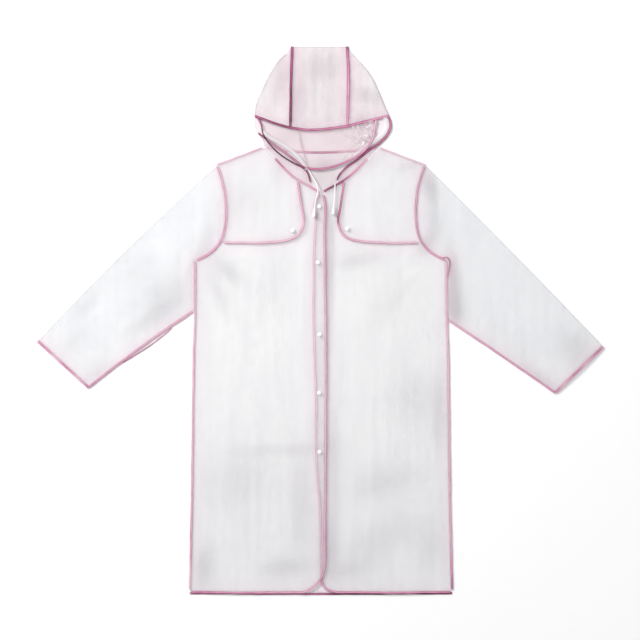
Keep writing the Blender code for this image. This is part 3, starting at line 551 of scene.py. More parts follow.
def frontUnder(x, y):
    # The underside of the fronts: it leaves the back at the side and shoulder seams, then creases over it.
    # The lift is the creases, the ripple and an even rise, kept above the back by a softened maximum.
    soft = layers["softening"]
    creased = (creaseLift(x, y, bodyCreases) + ripple(x, y, "front")) * edgeShare(x, y, layers["creaseRun"])
    lift = creased + layers["bodyRise"] * edgeShare(x, y, layers["riseRun"])
    return upperUnder + soft * np.log1p(np.exp(np.clip(lift / soft, -30, 30))) - soft * np.log(2)


def smoothUnder(x, y):
    # the fronts' underside with the even rise alone
    return upperUnder + layers["bodyRise"] * edgeShare(x, y, layers["riseRun"])


def topLapUnder(x, y):
    # the wearer's right front: the fronts' underside, plus an ease up over the left one at the placket
    past = (x - layers["lapStarts"]) / (layers["lapDone"] - layers["lapStarts"])
    return frontUnder(x, y) + lapLift * ease(past)


def hoodUnder(x, y):
    # the hood's underside: a rise and the creases, both less away from the middle and eased below the crown
    middle = np.clip(1 - (x / layers["hoodHalfWidth"]) ** 2, 0, 1)
    rise = layers["hoodRise"] * middle * ease((layers["crown"] - y) / 90)
    creased = middle ** 0.5 * ease((layers["crown"] - y) / 20)
    lift = creaseLift(x, y, hoodCreases) + ripple(x, y, "hood") + 0.3
    return upperUnder + rise + np.maximum(lift, -0.2) * creased


def raised(surface, *lifts):
    # a surface with some millimetres added
    return lambda x, y: surface(x, y) + sum(lifts)


def level(height):
    # a flat surface at one height
    return lambda x, y: np.full(np.shape(x), float(height))


def backTop(x, y):
    # the back lies on the floor: one height, with faint ripples in it
    return layers["backTop"] + ripple(x, y, "back")


# making the pieces
seamPoints = []
shading = {"seamReach": 16.0, "flatNormal": 0.98, "steepSpan": 0.88, "chunk": 3000,
           "openingHalf": 108, "openingFoot": 325, "openingTop": 446}


def shell(outer, inner, wrap=False, **attributes):
    # A closed body between two grids of points, with a wall along each edge.
    # With wrap, the rows run round a tube.
    rows, columns = outer.shape[:2]
    index = np.arange(rows * columns).reshape(rows, columns)
    below = index + rows * columns
    this, under = (index, below) if wrap else (index[:, :-1], below[:, :-1])
    following = np.roll(index, -1, axis=1) if wrap else index[:, 1:]
    underNext = np.roll(below, -1, axis=1) if wrap else below[:, 1:]
    corners = [(this[:-1], this[1:], following[1:], following[:-1]),
               (under[:-1], underNext[:-1], underNext[1:], under[1:]),
               (this[0], following[0], underNext[0], under[0]),
               (this[-1], under[-1], underNext[-1], following[-1])]
    if not wrap:
        corners.append((index[:-1, 0], below[:-1, 0], below[1:, 0], index[1:, 0]))
        corners.append((index[:-1, -1], index[1:, -1], below[1:, -1], below[:-1, -1]))
    faces = np.concatenate([np.stack(four, axis=-1).reshape(-1, 4) for four in corners])
    points = np.concatenate([outer.reshape(-1, 3), inner.reshape(-1, 3)])
    doubled = {name: np.concatenate([values.ravel()] * 2) for name, values in attributes.items()}
    return {"points": points, "quads": faces, **doubled}


def seamMarks(points, mesh):
    # Three numbers a vertex: blush falls off from the nearest seam, shade is the depth of the painted shade
    # patches, and steep grows as the surface tilts and sets the painted shade of folds. The hood's opening
    # has no steep, because edges show there through the visor.
    seams = np.concatenate(seamPoints)
    chunks = np.array_split(points[:, :2], max(1, len(points) // shading["chunk"]))
    away = np.concatenate([np.sqrt(((chunk[:, None] - seams[None]) ** 2).sum(2)).min(1) for chunk in chunks])
    normals = np.zeros(len(points) * 3, np.float32)
    mesh.vertices.foreach_get("normal", normals)
    x, y = points[:, 0], points[:, 1]
    opening = (y > shading["openingFoot"]) & (y < shading["openingTop"])
    opening = opening & (np.abs(x) < shading["openingHalf"])
    steep = np.clip((shading["flatNormal"] - np.abs(normals[2::3])) / shading["steepSpan"], 0, 1)
    return {"blush": np.exp(-away / shading["seamReach"]), "shade": np.clip(creaseLift(x, y, paintedShadePatches), 0, 1),
            "steep": np.where(opening, 0, steep)}


def addPiece(name, parts, finish, nodes=(), blush=False, sharp=0.9):
    # joins the parts into one mesh at its true place and hands it to the frame
    points = np.concatenate([part["points"] for part in parts])
    starts = np.cumsum([0] + [len(part["points"]) for part in parts])
    quads = np.concatenate([part["quads"] + start for part, start in zip(parts, starts)])
    caps = [(cap + start).tolist() for part, start in zip(parts, starts) for cap in part.get("caps", ())]
    mesh = bpy.data.meshes.new(name)
    mesh.from_pydata(((points + toMiddle) * millimetre).tolist(), [], quads.tolist() + caps)
    marks = {key: np.concatenate([part[key] for part in parts])
             for key in ("across", "depth") if key in parts[0]}
    if blush:
        marks.update(seamMarks(points, mesh))
    for key, values in marks.items():
        mesh.attributes.new(key, "FLOAT", "POINT").data.foreach_set("value", values.astype(np.float32))
    mesh.shade_smooth()
    mesh.set_sharp_from_angle(angle=sharp)
    mesh.materials.append(finishes[finish])
    made = bpy.data.objects.new(name, mesh)
    bpy.context.scene.collection.objects.link(made)
    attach(made, "root")
    if nodes:
        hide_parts(*nodes)
    return made


def slab(plan, top):
    # a thin film that follows a plan at the height of its top
    high = top(plan[..., 0], plan[..., 1])
    return shell(np.dstack([plan, high]), np.dstack([plan, high - layers["film"]]))


def ringBody(grid, flipped=False, **marks):
    # a closed body from rings of points, each ring joined to the next, with a cap at each end
    rows, columns = grid.shape[:2]
    index = np.arange(rows * columns).reshape(rows, columns)
    turned = np.roll(index, -1, axis=1)
    quads = np.stack([index[:-1], index[1:], turned[1:], turned[:-1]], axis=-1).reshape(-1, 4)
    caps = [index[0], index[-1][::-1]]
    if flipped:
        quads = quads[:, [0, 3, 2, 1]]
        caps = [cap[::-1] for cap in caps]
    return {"points": grid.reshape(-1, 3), "quads": quads, "caps": caps, **marks}


# The binding's section, as (place across, share of its height), round from its lower left
tapeSection = np.array([(-0.9, 0.0), (0.0, 0.0), (0.9, 0.0), (1.0, 0.35), (0.94, 0.8), (0.7, 1.0),
                        (0.36, 0.9), (0.0, 1.0), (-0.4, 1.0), (-0.76, 0.96), (-0.95, 0.75), (-1.0, 0.35)])
tapeWaves = {"aside": [(21, 1, 0.25), (8.3, 2, 0.18)], "width": [(31, 1.7, 0.05), (5.7, 1, 0.03)]}
tapeSteps = {"points": 2.4, "seams": 9, "least": 6, "easeIn": 20}


def waves(along, seed, name):
    # a sum of sine waves: each row is (length over two pi, how often the seed shifts it, size)
    return sum(size * np.sin(along / length + shift * seed) for length, shift, size in tapeWaves[name])


def binding(name, line, foot, top, depth, width=tapeWidth, nodes=()):
    # An oval section carried along a line in plan, between two surfaces. It wavers to the side and in width,
    # and its top has short gathers on a longer swell. Its width is one number, or rows of them along it.
    length = lengthsAlong(line)[-1]
    line = resample(line, max(tapeSteps["least"], int(length / tapeSteps["points"])))
    seamPoints.append(resample(line, max(3, int(length / tapeSteps["seams"]))))
    along = lengthsAlong(line)
    seed = float(line[0, 0] * 0.37 + line[0, 1] * 0.21)
    widths = np.interp(along / length, *zip(*width)) if isinstance(width, list) else width
    half = (widths / 2) * (1 + waves(along, seed, "width"))
    sway = waves(along, seed, "aside") * ease(np.minimum(along, length - along) / tapeSteps["easeIn"])
    across, share = tapeSection[:, 0], tapeSection[:, 1]
    reach = across[None] * half[:, None] + sway[:, None]
    plan = line[:, None] + toRight(line)[:, None] * reach[..., None]
    low, high = foot(plan[..., 0], plan[..., 1]), top(plan[..., 0], plan[..., 1])
    gather = 0.14 * np.sin(along / 1.15 + 1.5 * np.sin(along / 7 + seed)) + 0.12 * np.sin(along / 4.1 + seed)
    height = low + (high - low + gather[:, None]) * share[None]
    part = ringBody(np.dstack([plan, height]), across=np.tile((across + 1) / 2, len(line)),
                    depth=np.repeat(np.interp(along / length, *zip(*depth)), len(across)))
    return addPiece(name, [part], "pinkTape", nodes)


def lathe(section, start, axis, length, radius, sides):
    # a section, (radius share, distance share), turned about an axis
    axis = np.array(axis, float) / np.linalg.norm(axis)
    aside = np.cross(axis, (0, 0, 1) if abs(axis[2]) < 0.9 else (1, 0, 0))
    aside /= np.linalg.norm(aside)
    other = np.cross(axis, aside)
    section = np.array(section, float)
    turn = np.arange(sides) * 2 * np.pi / sides
    spoke = np.cos(turn)[:, None] * aside + np.sin(turn)[:, None] * other
    rings = (np.array(start) + section[:, None, None, 1] * axis * length
             + section[:, None, None, 0] * radius * spoke)
    return ringBody(rings, flipped=True)


# drawcord: two free ends, out of the hood's casing
cordFacts = {"radius": 1.25, "meetsLap": 318.0, "lapRun": 26.0, "endLength": 19.0, "endSides": 28,
             "pointEvery": 6.0}
cordRows = {
    "right": [(-27, 334, 0.0), (-19, 321, 0.0), (-10, 304, 0.6), (-7, 286, 1.0), (-12, 268, 1.4),
              (-14, 250, 2.4)],
    "left": [(31.5, 306, 0.0), (31.5, 293, 0.8), (30.5, 278, 1.2), (29.5, 262, 2.0), (29, 256, 2.4)],
}
# the cord end, as (radius, share of its length)
cordEndSection = [(0.2, 0.0), (1.6, 0.0), (1.8, 0.03), (2.0, 0.08), (2.25, 0.14), (2.05, 0.2), (2.3, 0.27),
                  (2.6, 0.38), (3.0, 0.55), (3.45, 0.72), (3.8, 0.85), (3.9, 0.93), (3.6, 0.985), (2.9, 1.0),
                  (2.4, 0.96), (0.2, 0.95)]


def tube(line, radius, sides=16):
    # a round section carried along a line in space, with its ends closed
    ahead = unit(np.gradient(line, axis=0))
    aside = unit(np.cross(ahead, (0.0, 0.0, 1.0)))
    upward = np.cross(aside, ahead)
    turn = np.arange(sides) * 2 * np.pi / sides
    spoke = np.cos(turn)[None, :, None] * aside[:, None] + np.sin(turn)[None, :, None] * upward[:, None]
    return ringBody(line[:, None] + radius * spoke)


def makeCord(side, sign):
    # A cord over the front's tape: each row of its route is (x, height on the coat, lift).
    # The right one also climbs the top lap. Its end piece points on from its last stretch, laid level.
    name = side.capitalize()
    rows = np.array(cordRows[side], float)
    length = float(np.linalg.norm(np.diff(rows[:, :2], axis=0), axis=1).sum())
    line = curve(rows, round(length / cordFacts["pointEvery"]) + 1)
    rest = smoothUnder(line[:, 0], line[:, 1]) + wall + tapeProud + gap + cordFacts["radius"] + line[:, 2]
    if sign < 0:
        rest = rest + lapLift * ease((cordFacts["meetsLap"] - line[:, 1]) / cordFacts["lapRun"])
    line = curve(np.column_stack([line[:, :2], rest]), 90)
    cord = addPiece(f"drawcord{name}", [tube(line, cordFacts["radius"])], "whiteCord", [f"drawcord_{side}"])
    ahead = (line[-1] - line[-4]) / np.linalg.norm(line[-1] - line[-4])
    start, levelWay = line[-1] + ahead * gap, ahead * (1, 1, 0)
    turned = lathe(cordEndSection, start, levelWay, cordFacts["endLength"], 1.0, cordFacts["endSides"])
    cordEnd = addPiece(f"cordEnd{name}", [turned], "whitePlastic", [f"cord_end_{side}"])


makeCord("right", -1)
makeCord("left", 1)

# Bindings come before the films, so that the films know where their seams are.
# Each list is the depth of a tape's pink, as (share of its length, depth).
bodyTapes = {
    "sideRight": [(0, 0.36), (0.15, 0.28), (0.5, 0.34), (0.9, 0.46), (0.93, 0.3), (0.95, 0.05), (1, 0.1)],
    "sideLeft": [(0, 0.2), (0.3, 0.16), (0.5, 0.25), (0.7, 0.34), (0.9, 0.4), (1, 0.8)],
    "armhole": [(0, 0.34), (0.4, 0.42), (0.75, 0.5), (1, 0.4)],
    "underarm": [(0, 0.30), (0.5, 0.42), (1, 0.5)],
    "neckRight": [(0, 0.7), (0.3, 0.5), (0.7, 0.42), (1, 0.6)],
    "neckLeft": [(0, 0.4), (0.4, 0.6), (0.6, 1.0), (0.85, 1.15), (1, 0.9)],
    "flapRight": [(0, 0.44), (0.3, 0.36), (0.6, 0.26), (1, 0.24)],
    "flapLeft": [(0, 0.6), (0.2, 0.8), (0.3, 0.95), (0.34, 0.45), (0.6, 0.3), (1, 0.26)],
    # the back hem: over its second half the depth passes 1, a painted shadow under the hem's raised edge
    "hem": [(0, 0.75), (0.3, 0.85), (0.5, 0.8), (0.56, 1.1), (0.9, 1.25), (1, 1.0)],
    "front": [(0, 0.5), (0.1, 0.36), (0.5, 0.34), (0.75, 0.44), (1, 0.6)],
    "backNeck": [(0, 0.2), (0.3, 0.3), (0.42, 0.75), (0.6, 0.75), (0.7, 0.3), (1, 0.2)],
    "armholeBack": [(0, 0.3), (1, 0.3)],
    "shoulderRight": [(0, 0.22), (1, 0.3)],
    "shoulderLeft": [(0, 0.0), (0.5, 0.0), (1, 0.1)],
    "split": [(0, 0.5), (0.5, 0.9), (1, 0.5)],
    "loop": [(0, 0.6), (0.4, 1.0), (1, 0.5)],
}
narrowTape = 3.6  # the tapes that lie under others
tapeTop = upperUnder + wall + tapeProud / 2
topLapRows = [(3, 286), (7, 271), (9, 252), (8, 200), (9, 90), (11, -60), (10, -294), (8.5, -532),
              (8.5, -552)]
topLapCorner = [(8.5, -552), (2, -578), (-13, -598), (-38, -613)]
underLapRows = [(3, 286), (-8, 276), (-12, 219), (-16, -19), (-11, -177), (-10, -321), (-3, -408), (0, -514),
                (0, -566)]
underLapCorner = [(0, -566), (2, -590), (12, -606), (34, -613)]
flapInnerRows = [(52, 313), (48, 283), (42, 246), (38.5, 223), (41, 207), (52, 189), (72, 179)]
flapBottomRows = [(72, 179), (95, 175), (124, 173), (162, 172), (221, 173)]
flapRounds = 120
sheets = {}
bodyInset, flapInset = [seamInset - 1.2] * 4, [seamInset - 1.0] * 4
hemHeights = {"front": (-613.0, -614.5), "back": (-614.75, -616.5), "backTape": (-615.9, -617.4)}


def makeFront(side, sign, edgeRows, cornerRows, under):
    # one front: shoulder, neck, front edge with its rounded corner, hem, side and armhole
    name = side.capitalize()
    sideX = sign * sideRows[-1][0]
    hemEnd, hemMiddle = hemHeights["front"]
    hem = curve([(sideX, hemEnd), (sideX / 2, hemMiddle), (cornerRows[-1][0], hemEnd)], 61)
    shoulder = curve(mirrored([shoulderTip, neckPoint], sign), 61)
    outer = mirrored(np.concatenate([armholeLine[:-1], sideLine]), sign)
    neck = mirrored(neckLine, sign)
    corner = curve(cornerRows, 17)
    edge = curve(edgeRows, len(outer) - len(neck) - len(corner) + 2)
    centre = np.concatenate([neck[:-1], edge[:-1], corner])
    plan = (insetPatch(shoulder, centre, hem, outer, bodyInset) if sign < 0
            else insetPatch(shoulder[::-1], outer, hem[::-1], centre, bodyInset))
    bound = np.concatenate([edge[1:-1], corner[:-1], hem[::-1][:-1]])
    tapes = [binding(f"frontBinding{name}", bound, under, raised(under, wall, tapeProud), bodyTapes["front"],
                     nodes=[f"tape_front_{side}"]),
             binding(f"neckBinding{name}", neck[10:-1], frontUnder, raised(frontUnder, wall, tapeProud),
                     bodyTapes[f"neck{name}"], nodes=[f"tape_neck_{side}"])]
    sheets[f"front{name}"] = {"parts": [slab(plan, raised(under, wall))], "finish": "frontFilm",
                              "nodes": [f"front_{side}"], "flat": (0.300, 1.000), "area": 0.263,
                              "restsOn": ["backPanel"] if sign > 0 else ["backPanel", "frontLeft"],
                              "tapes": tapes}


def makeFlap(side, sign, under):
    # the storm flap over the yoke, on its front and loose along its inner and lower edges
    name = side.capitalize()
    onFront = raised(under, wall, gap)
    armhole = mirrored(above(armholeLine, flapBottomRows[-1][1]), sign)
    neck = mirrored(above(neckLine, flapInnerRows[0][1]), sign)
    inner = curve(mirrored(flapInnerRows, sign), 33)
    centre = np.concatenate([neck[:-1], inner])
    armhole = resample(armhole, len(centre))
    shoulder = curve(mirrored([shoulderTip, neckPoint], sign), 41)
    bottom = curve(mirrored(flapBottomRows[::-1], sign), 41)
    plan = (insetPatch(shoulder, centre, bottom, armhole, flapInset) if sign < 0
            else insetPatch(shoulder[::-1], armhole, bottom[::-1], centre, flapInset))
    plan = relaxed(plan, flapRounds)
    bound = np.concatenate([inner[1:-1], bottom[::-1]])[:-1]
    tapes = [binding(f"flapBinding{name}", bound, onFront, raised(onFront, wall, tapeProud),
                     bodyTapes[f"flap{name}"], nodes=[f"tape_yoke_{side}"])]
    sheets[f"flap{name}"] = {"parts": [slab(plan, raised(onFront, wall))], "finish": "flapFilm",
                             "nodes": [f"yoke_{side}"], "flat": (0.190, 0.215), "area": 0.0305,
                             "tapes": tapes, "restsOn": [f"front{name}"]}


def makeBack():
    # one panel from the shoulders and the back neck to the hem, between the armholes and sides
    sideX = sideRows[-1][0]
    seam = curve([shoulderTip, neckPoint], 21)
    halfTop = np.concatenate([seam[:-1], backNeckLine])
    top = np.concatenate([halfTop * (-1, 1), halfTop[::-1][1:]])
    edge = np.concatenate([armholeLine[:-1], sideLine])
    hems = [curve([(-sideX, end), (0, middle), (sideX, end)], count)
            for (end, middle), count in ((hemHeights["back"], len(top)), (hemHeights["backTape"], 120))]
    edge[-1, 1] = hems[0][0][1]
    plan = insetPatch(top, edge, hems[0], edge * (-1, 1), bodyInset)
    neckSeam = trimmed(np.concatenate([backNeckLine * (-1, 1), backNeckLine[::-1][1:]]), 5.0, 5.0)
    tapes = [binding("backHemBinding", hems[1], level(tapeFoot), level(wall), bodyTapes["hem"],
                     nodes=["tape_back_hem"]),
             binding("backNeckBinding", neckSeam, level(tapeFoot), level(wall + 0.2), bodyTapes["backNeck"],
                     nodes=["tape_back_neck"])]
    sheets["backPanel"] = {"parts": [slab(plan, backTop)], "finish": "backFilm", "nodes": ["back"],
                           "flat": (0.590, 1.010), "area": 0.531, "tapes": tapes, "restsOn": ["floor"]}


makeBack()
makeFront("left", 1, underLapRows, underLapCorner, frontUnder)
makeFront("right", -1, topLapRows, topLapCorner, topLapUnder)
makeFlap("right", -1, topLapUnder)
makeFlap("left", 1, frontUnder)
print("body cut")

# sleeves
sleeves = {
    "right": {"sign": -1, "meetsSide": (283, 22), "cuffTop": (638, -48), "cuffLow": (523, -153), "bow": 6},
    "left": {"sign": 1, "meetsSide": (283, 1), "cuffTop": (635, -61), "cuffLow": (527, -165), "bow": 2},
}
sleeveShape = {"rise": 1.76, "riseRun": 0.12, "roundness": 0.8, "most": 5.5, "relaxRounds": 400,
               "stations": 85, "foldSteps": 5, "foot": 0.2, "lift": 0.2, "seamRun": 0.08, "endRun": 0.05,
               "bowWay": 0.7, "underarmBow": 0.6}
# the cuff's band: shares of its width, how much its waver counts there, and its wall
cuffBand = {"shares": (0, 0.2, 0.5, 0.8, 1), "waverShares": (0.4, 1, 1, 1, 0.4), "waver": 0.12, "wall": 0.9,
            "depth": (0.46, 0.14)}


def halfRound(edge, outward, middle, half, angles):
    # columns of points that turn round an edge: out by the cosine and up by the sine of each angle
    plan = edge[:, None] + outward[:, None] * (half[:, None] * np.cos(angles))[..., None]
    return np.dstack([plan, middle[:, None] + half[:, None] * np.sin(angles)])


def sleeveRings(plan, rise, lowFoot, proud, thick):
    # rings round a flattened tube, a half circle at each edge: the upper layer swells, the lower lies flat
    rows, columns = plan.shape[:2]
    outward = [unit(plan[:, 0] - plan[:, 1]), unit(plan[:, -1] - plan[:, -2])]
    highTop = upperUnder + rise + wall + proud
    reach = (upperUnder + wall + proud - lowFoot) / 2
    inner = plan.copy()
    inner[:, 0] -= outward[0] * reach
    inner[:, -1] -= outward[1] * reach
    angles = np.linspace(np.pi / 2, -np.pi / 2, sleeveShape["foldSteps"] + 2)[1:-1]
    made = []
    for thin in (0.0, thick):
        low, high = np.full((rows, columns), lowFoot + thin), highTop - thin
        upper, lower = np.dstack([inner, high]), np.dstack([inner, low])[:, ::-1]
        turns = []
        for end in (-1, 0):
            middle, half = (high[:, end] + low[:, end]) / 2, (high[:, end] - low[:, end]) / 2
            turns.append(halfRound(inner[:, end], outward[end], middle, half, angles if end else -angles))
        made.append(np.concatenate([upper, turns[0], lower, turns[1]], axis=1))
    return made


def makeSleeve(side, facts):
    # a flattened tube from armhole to cuff: an even swell plus creases, eased to nothing at its edges
    sign, name, stations = facts["sign"], side.capitalize(), sleeveShape["stations"]
    armhole = mirrored(np.concatenate([armholeLine[:-1], above(sideLine, facts["meetsSide"][1])]), sign)
    armhole = resample(armhole, 61)
    cuff = curve(mirrored([facts["cuffTop"], facts["cuffLow"]], sign), len(armhole))
    bow = facts["bow"] * np.sin(np.linspace(0, np.pi, stations))[:, None]
    out = np.array([sign, 1]) * sleeveShape["bowWay"]
    fold = curve(mirrored([shoulderTip, facts["cuffTop"]], sign), stations) + bow * out
    underarm = curve(mirrored([facts["meetsSide"], facts["cuffLow"]], sign), stations)
    underarm = underarm + bow * out * sleeveShape["underarmBow"]
    near = seamInset - 1
    if sign > 0:
        plan = insetPatch(fold, cuff, underarm, armhole, [0, seamInset, near, near])
    else:
        plan = insetPatch(fold[::-1], armhole, underarm[::-1], cuff, [0, near, near, seamInset])[:, ::-1]
    plan = relaxed(plan.transpose(1, 0, 2), sleeveShape["relaxRounds"])
    share, down = np.linspace(0, 1, stations), np.linspace(0, 1, len(armhole))
    x, y = plan[..., 0], plan[..., 1]
    swell = sleeveShape["rise"] * ease(share / sleeveShape["riseRun"])[:, None]
    swell = swell * np.sin(np.pi * down)[None] ** sleeveShape["roundness"]
    seamEase = ease(np.minimum(down, 1 - down) / sleeveShape["seamRun"])
    endEase = ease(np.minimum(share, 1 - share + 0.01) / sleeveShape["endRun"])
    lift = creaseLift(x, y, sleeveCreases) + ripple(x, y, "sleeve") + sleeveShape["lift"]
    rise = np.clip(swell + lift * (seamEase[None] * endEase[:, None]), 0.0, sleeveShape["most"])
    tubes = sleeveRings(plan, rise, sleeveShape["foot"], 0.0, layers["film"])
    past = unit(plan[-1] - plan[-2])
    band = np.stack([plan[-1] + past * (gap + tapeWidth * part) for part in cuffBand["shares"]])
    steps = np.arange(band.shape[1])
    waver = cuffBand["waver"] * np.sin(steps * 1.9 + 3 * np.sin(steps * 0.35))
    bandRise = rise[-2:-1] + waver[None] * np.array(cuffBand["waverShares"])[:, None]
    bandTubes = sleeveRings(band, np.maximum(bandRise, 0), tapeFoot, tapeProud, cuffBand["wall"])
    if sign > 0:
        tubes, bandTubes = ([tube[::-1] for tube in pair] for pair in (tubes, bandTubes))
    ring = np.ones(bandTubes[0].shape[:2]) * np.arange(bandTubes[0].shape[1])
    middleDepth, depthSwing = cuffBand["depth"]
    crossing = np.ones(ring.shape) * np.linspace(0, 1, len(ring))[:, None]
    cuffPart = shell(*bandTubes, wrap=True, across=crossing,
                     depth=middleDepth + depthSwing * np.sin(ring * 0.23))
    cuffBinding = addPiece(f"cuffBinding{name}", [cuffPart], "pinkTape", [f"tape_cuff_{side}"])
    seamPoints.append(cuff[::6])
    line = mirrored(armholeLine, sign)[1:-1]
    shoulder = trimmed(curve(mirrored([shoulderTip, neckPoint], sign), 21), 0, 5.0)
    floorLevel, seamLevel = level(tapeFoot), level(tapeTop)
    binding(f"sideBinding{name}", mirrored(sideLine, sign)[:-1], floorLevel, seamLevel,
            bodyTapes[f"side{name}"], nodes=[f"tape_side_{side}"])
    binding(f"shoulderBinding{name}", shoulder, floorLevel, seamLevel, bodyTapes[f"shoulder{name}"],
            width=narrowTape, nodes=[f"tape_shoulder_{side}"])
    binding(f"armholeBackBinding{name}", line, floorLevel, level(wall), bodyTapes["armholeBack"],
            width=narrowTape, nodes=[f"tape_armhole_back_{side}"])
    tapes = [binding(f"armholeBinding{name}", line, frontUnder, raised(frontUnder, wall, tapeProud),
                     bodyTapes["armhole"], nodes=[f"tape_armhole_{side}"]),
             binding(f"underarmBinding{name}", underarm[2:], floorLevel, seamLevel, bodyTapes["underarm"],
                     nodes=[f"tape_underarm_{side}"]), cuffBinding]
    sheets[f"sleeve{name}"] = {"parts": [shell(*tubes, wrap=True)], "finish": "sleeveFilm",
                               "nodes": [f"sleeve_{side}"], "flat": (0.47, 0.60), "area": 0.172,
                               "tapes": tapes, "restsOn": ["floor"]}


for sideName, sideFacts in sleeves.items():
    makeSleeve(sideName, sideFacts)
# the seam that opens under the right arm, and a loop of tape under the left
underarmTrims = {
    "sleeveRight": {"name": "underarmSplitBinding", "width": 2.2, "foot": tapeFoot, "top": wall,
                    "depth": "split",
                    "line": curve([(-446, -97), (-420, -82), (-393, -64.5), (-365, -44), (-336, -20)], 60)},
    "sleeveLeft": {"name": "underarmLoopBinding", "width": 2.6, "foot": 3.5, "top": 4.3, "depth": "loop",
                   "line": curve([(274, 139), (284, 139), (290, 129), (289, 113), (283, 95)], 40)},
}
for name, facts in underarmTrims.items():
    trim = binding(facts["name"], facts["line"], level(facts["foot"]), level(facts["top"]),
                   bodyTapes[facts["depth"]], width=facts["width"])
    sheets[name]["tapes"].append(trim)
print("sleeves cut")

# hood
crown = layers["crown"]
stripRows = {"right": [(-65, crown), (-67, 540), (-68, 494), (-69, 431)],
             "left": [(59, crown), (62, 560), (61, 494), (60, 435)]}
outlineRows = {"right": [(-80, 598), (-91, 587), (-116, 549), (-137, 505), (-146, 482), (-149, 458)],
               "left": [(74, 594), (84, 583), (112, 546), (132, 505), (143, 479), (153, 458)]}
brimRows = {"right": [(-149, 458), (-117, 445), (-69, 431)],
            "middle": [(-69, 431), (-21, 426), (11, 428), (60, 435)],
            "left": [(60, 435), (92, 443), (117, 449), (153, 458)]}
lowerRows = {"right": [(-149, 458), (-149, 436), (-142, 417), (-131, 402), (-128, 388)],
             "left": [(153, 458), (157, 438), (150, 411), (128, 388)]}
faceRows = {"right": [(-141, 419), (-117, 401), (-86, 379), (-55, 355), (-41, 342), (-30, 329), (-24, 310)],
            "left": [(151, 456), (156, 446), (157, 434), (149, 415), (130, 396), (110, 382), (80, 358),
                     (54, 339), (42, 326), (36, 314)]}
cheekStarts = {"right": {"fold": [(-132, 403), (-128, 388)], "faceHeight": 430},
               "left": {"fold": [], "faceHeight": 391}}
visorRows = [(-135, 440), (-130, 418), (-107, 385), (-62, 352), (-29, 340), (0, 339), (54, 353), (90, 373),
             (115, 405), (121, 436)]
brimLines = {name: curve(rows, 41 if name == "middle" else 31) for name, rows in brimRows.items()}
brimLine = np.concatenate([brimLines["right"][:-1], brimLines["middle"][:-1], brimLines["left"]])
innerFold = {"line": [(-51, 424), (-46, 397), (-39, 370), (-32, 349)], "width": 2.2, "lift": 0.8}
hoodShape = {"low": 0.3, "outlineFoot": 0.2, "backTop": 0.8, "foldSteps": 9, "seamTape": 6.2,
             "brimTape": 5.6, "brimLift": 0.2}
visorShape = {"lift": wall + tapeProud + 2 * gap, "tape": 1.0, "film": 1.3, "crinkleFrom": 20,
              "crinkleRun": 60}
hoodTapes = {
    "stripRight": [(0, 0.9), (0.3, 1.0), (0.6, 1.2), (1, 1.2)],
    "stripLeft": [(0, 1.1), (0.08, 0.7), (0.5, 0.56), (1, 0.5)],
    "forehead": [(0, 0.8), (0.06, 1.1), (0.26, 1.1), (0.36, 0.78), (0.8, 0.66), (0.92, 0.5), (1, 0.6)],
    "faceRight": [(0, 1.0), (0.4, 0.8), (0.8, 0.95), (0.93, 1.1), (1, 1.2)],
    "faceLeft": [(0, 0.75), (0.15, 0.7), (0.45, 0.95), (0.7, 1.1), (0.9, 0.9), (0.93, 1.2), (1, 1.2)],
    "visor": [(0, 0.95), (0.05, 1.1), (0.12, 1.5), (0.36, 1.4), (0.44, 0.76), (0.7, 0.7), (0.85, 0.42),
              (1, 0.34)],
    "visorWidths": [(0, 4.4), (0.08, 3.4), (0.14, 3.0), (0.36, 3.0), (0.44, 4.8), (1, 4.6)],
    "faceWidths": {"right": [(0, 4.0), (0.25, 5.6), (0.7, 5.6), (0.85, 3.6), (1, 3.2)],
                   "left": [(0, 4.2), (0.2, 5.2), (0.8, 5.2), (1, 3.8)]},
}


def makeHoodCentre():
    # one strip from the brim over the crown, round a half circle, and down to the back neck seam
    brim, near = brimLines["middle"], seamInset - 1
    columns, frontRows, backRows, foldRows = len(brim), 61, 41, hoodShape["foldSteps"]
    right, left = curve(stripRows["right"], frontRows), curve(stripRows["left"], frontRows)
    top = curve([stripRows["right"][0], stripRows["left"][0]], columns)
    front = insetPatch(top, left, brim, right, [0, near, near, near])[::-1]
    radius = (upperUnder + wall) / 2
    front[-1, :, 1] -= radius
    edge = front[-1]
    neckHeight = np.interp(np.abs(edge[:, 0]), backNeckLine[::-1, 0], backNeckLine[::-1, 1]) + seamInset
    t = np.linspace(0, 1, backRows)[:, None]
    downwards = edge[:, 1] + (neckHeight - edge[:, 1]) * t
    back = np.dstack([np.broadcast_to(edge[:, 0], (backRows, columns)), downwards])
    high = hoodUnder(front[..., 0], front[..., 1]) + wall
    high[-1] = upperUnder + wall
    low = hoodShape["low"] + ripple(back[..., 0], back[..., 1], "stripBack") * ease(t * 8)
    angles = np.linspace(0, np.pi, foldRows + 2)[1:-1][:, None]
    made = []
    for thin in (0.0, layers["film"]):
        turn = radius - thin
        fold = np.dstack([np.broadcast_to(edge[:, 0], (foldRows, columns)),
                          edge[:, 1] + turn * np.sin(angles) * np.ones(columns),
                          radius + turn * np.cos(angles) * np.ones(columns)])
        whole = [np.dstack([front, high - thin]), fold, np.dstack([back, low + thin])]
        made.append(np.concatenate(whole)[::-1])
    tapes = [binding(f"hoodBinding{side.capitalize()}", curve(stripRows[side], 61)[:-1], hoodUnder,
                     raised(hoodUnder, wall, tapeProud), hoodTapes[f"strip{side.capitalize()}"],
                     width=hoodShape["seamTape"], nodes=[f"tape_hood_{side}"]) for side in ("right", "left")]
    sheets["hoodCentre"] = {"parts": [shell(*made)], "finish": "hoodFilm", "nodes": ["hood_centre"],
                            "flat": (0.130, 0.430), "area": 0.0536, "tapes": tapes, "restsOn": ["floor"]}


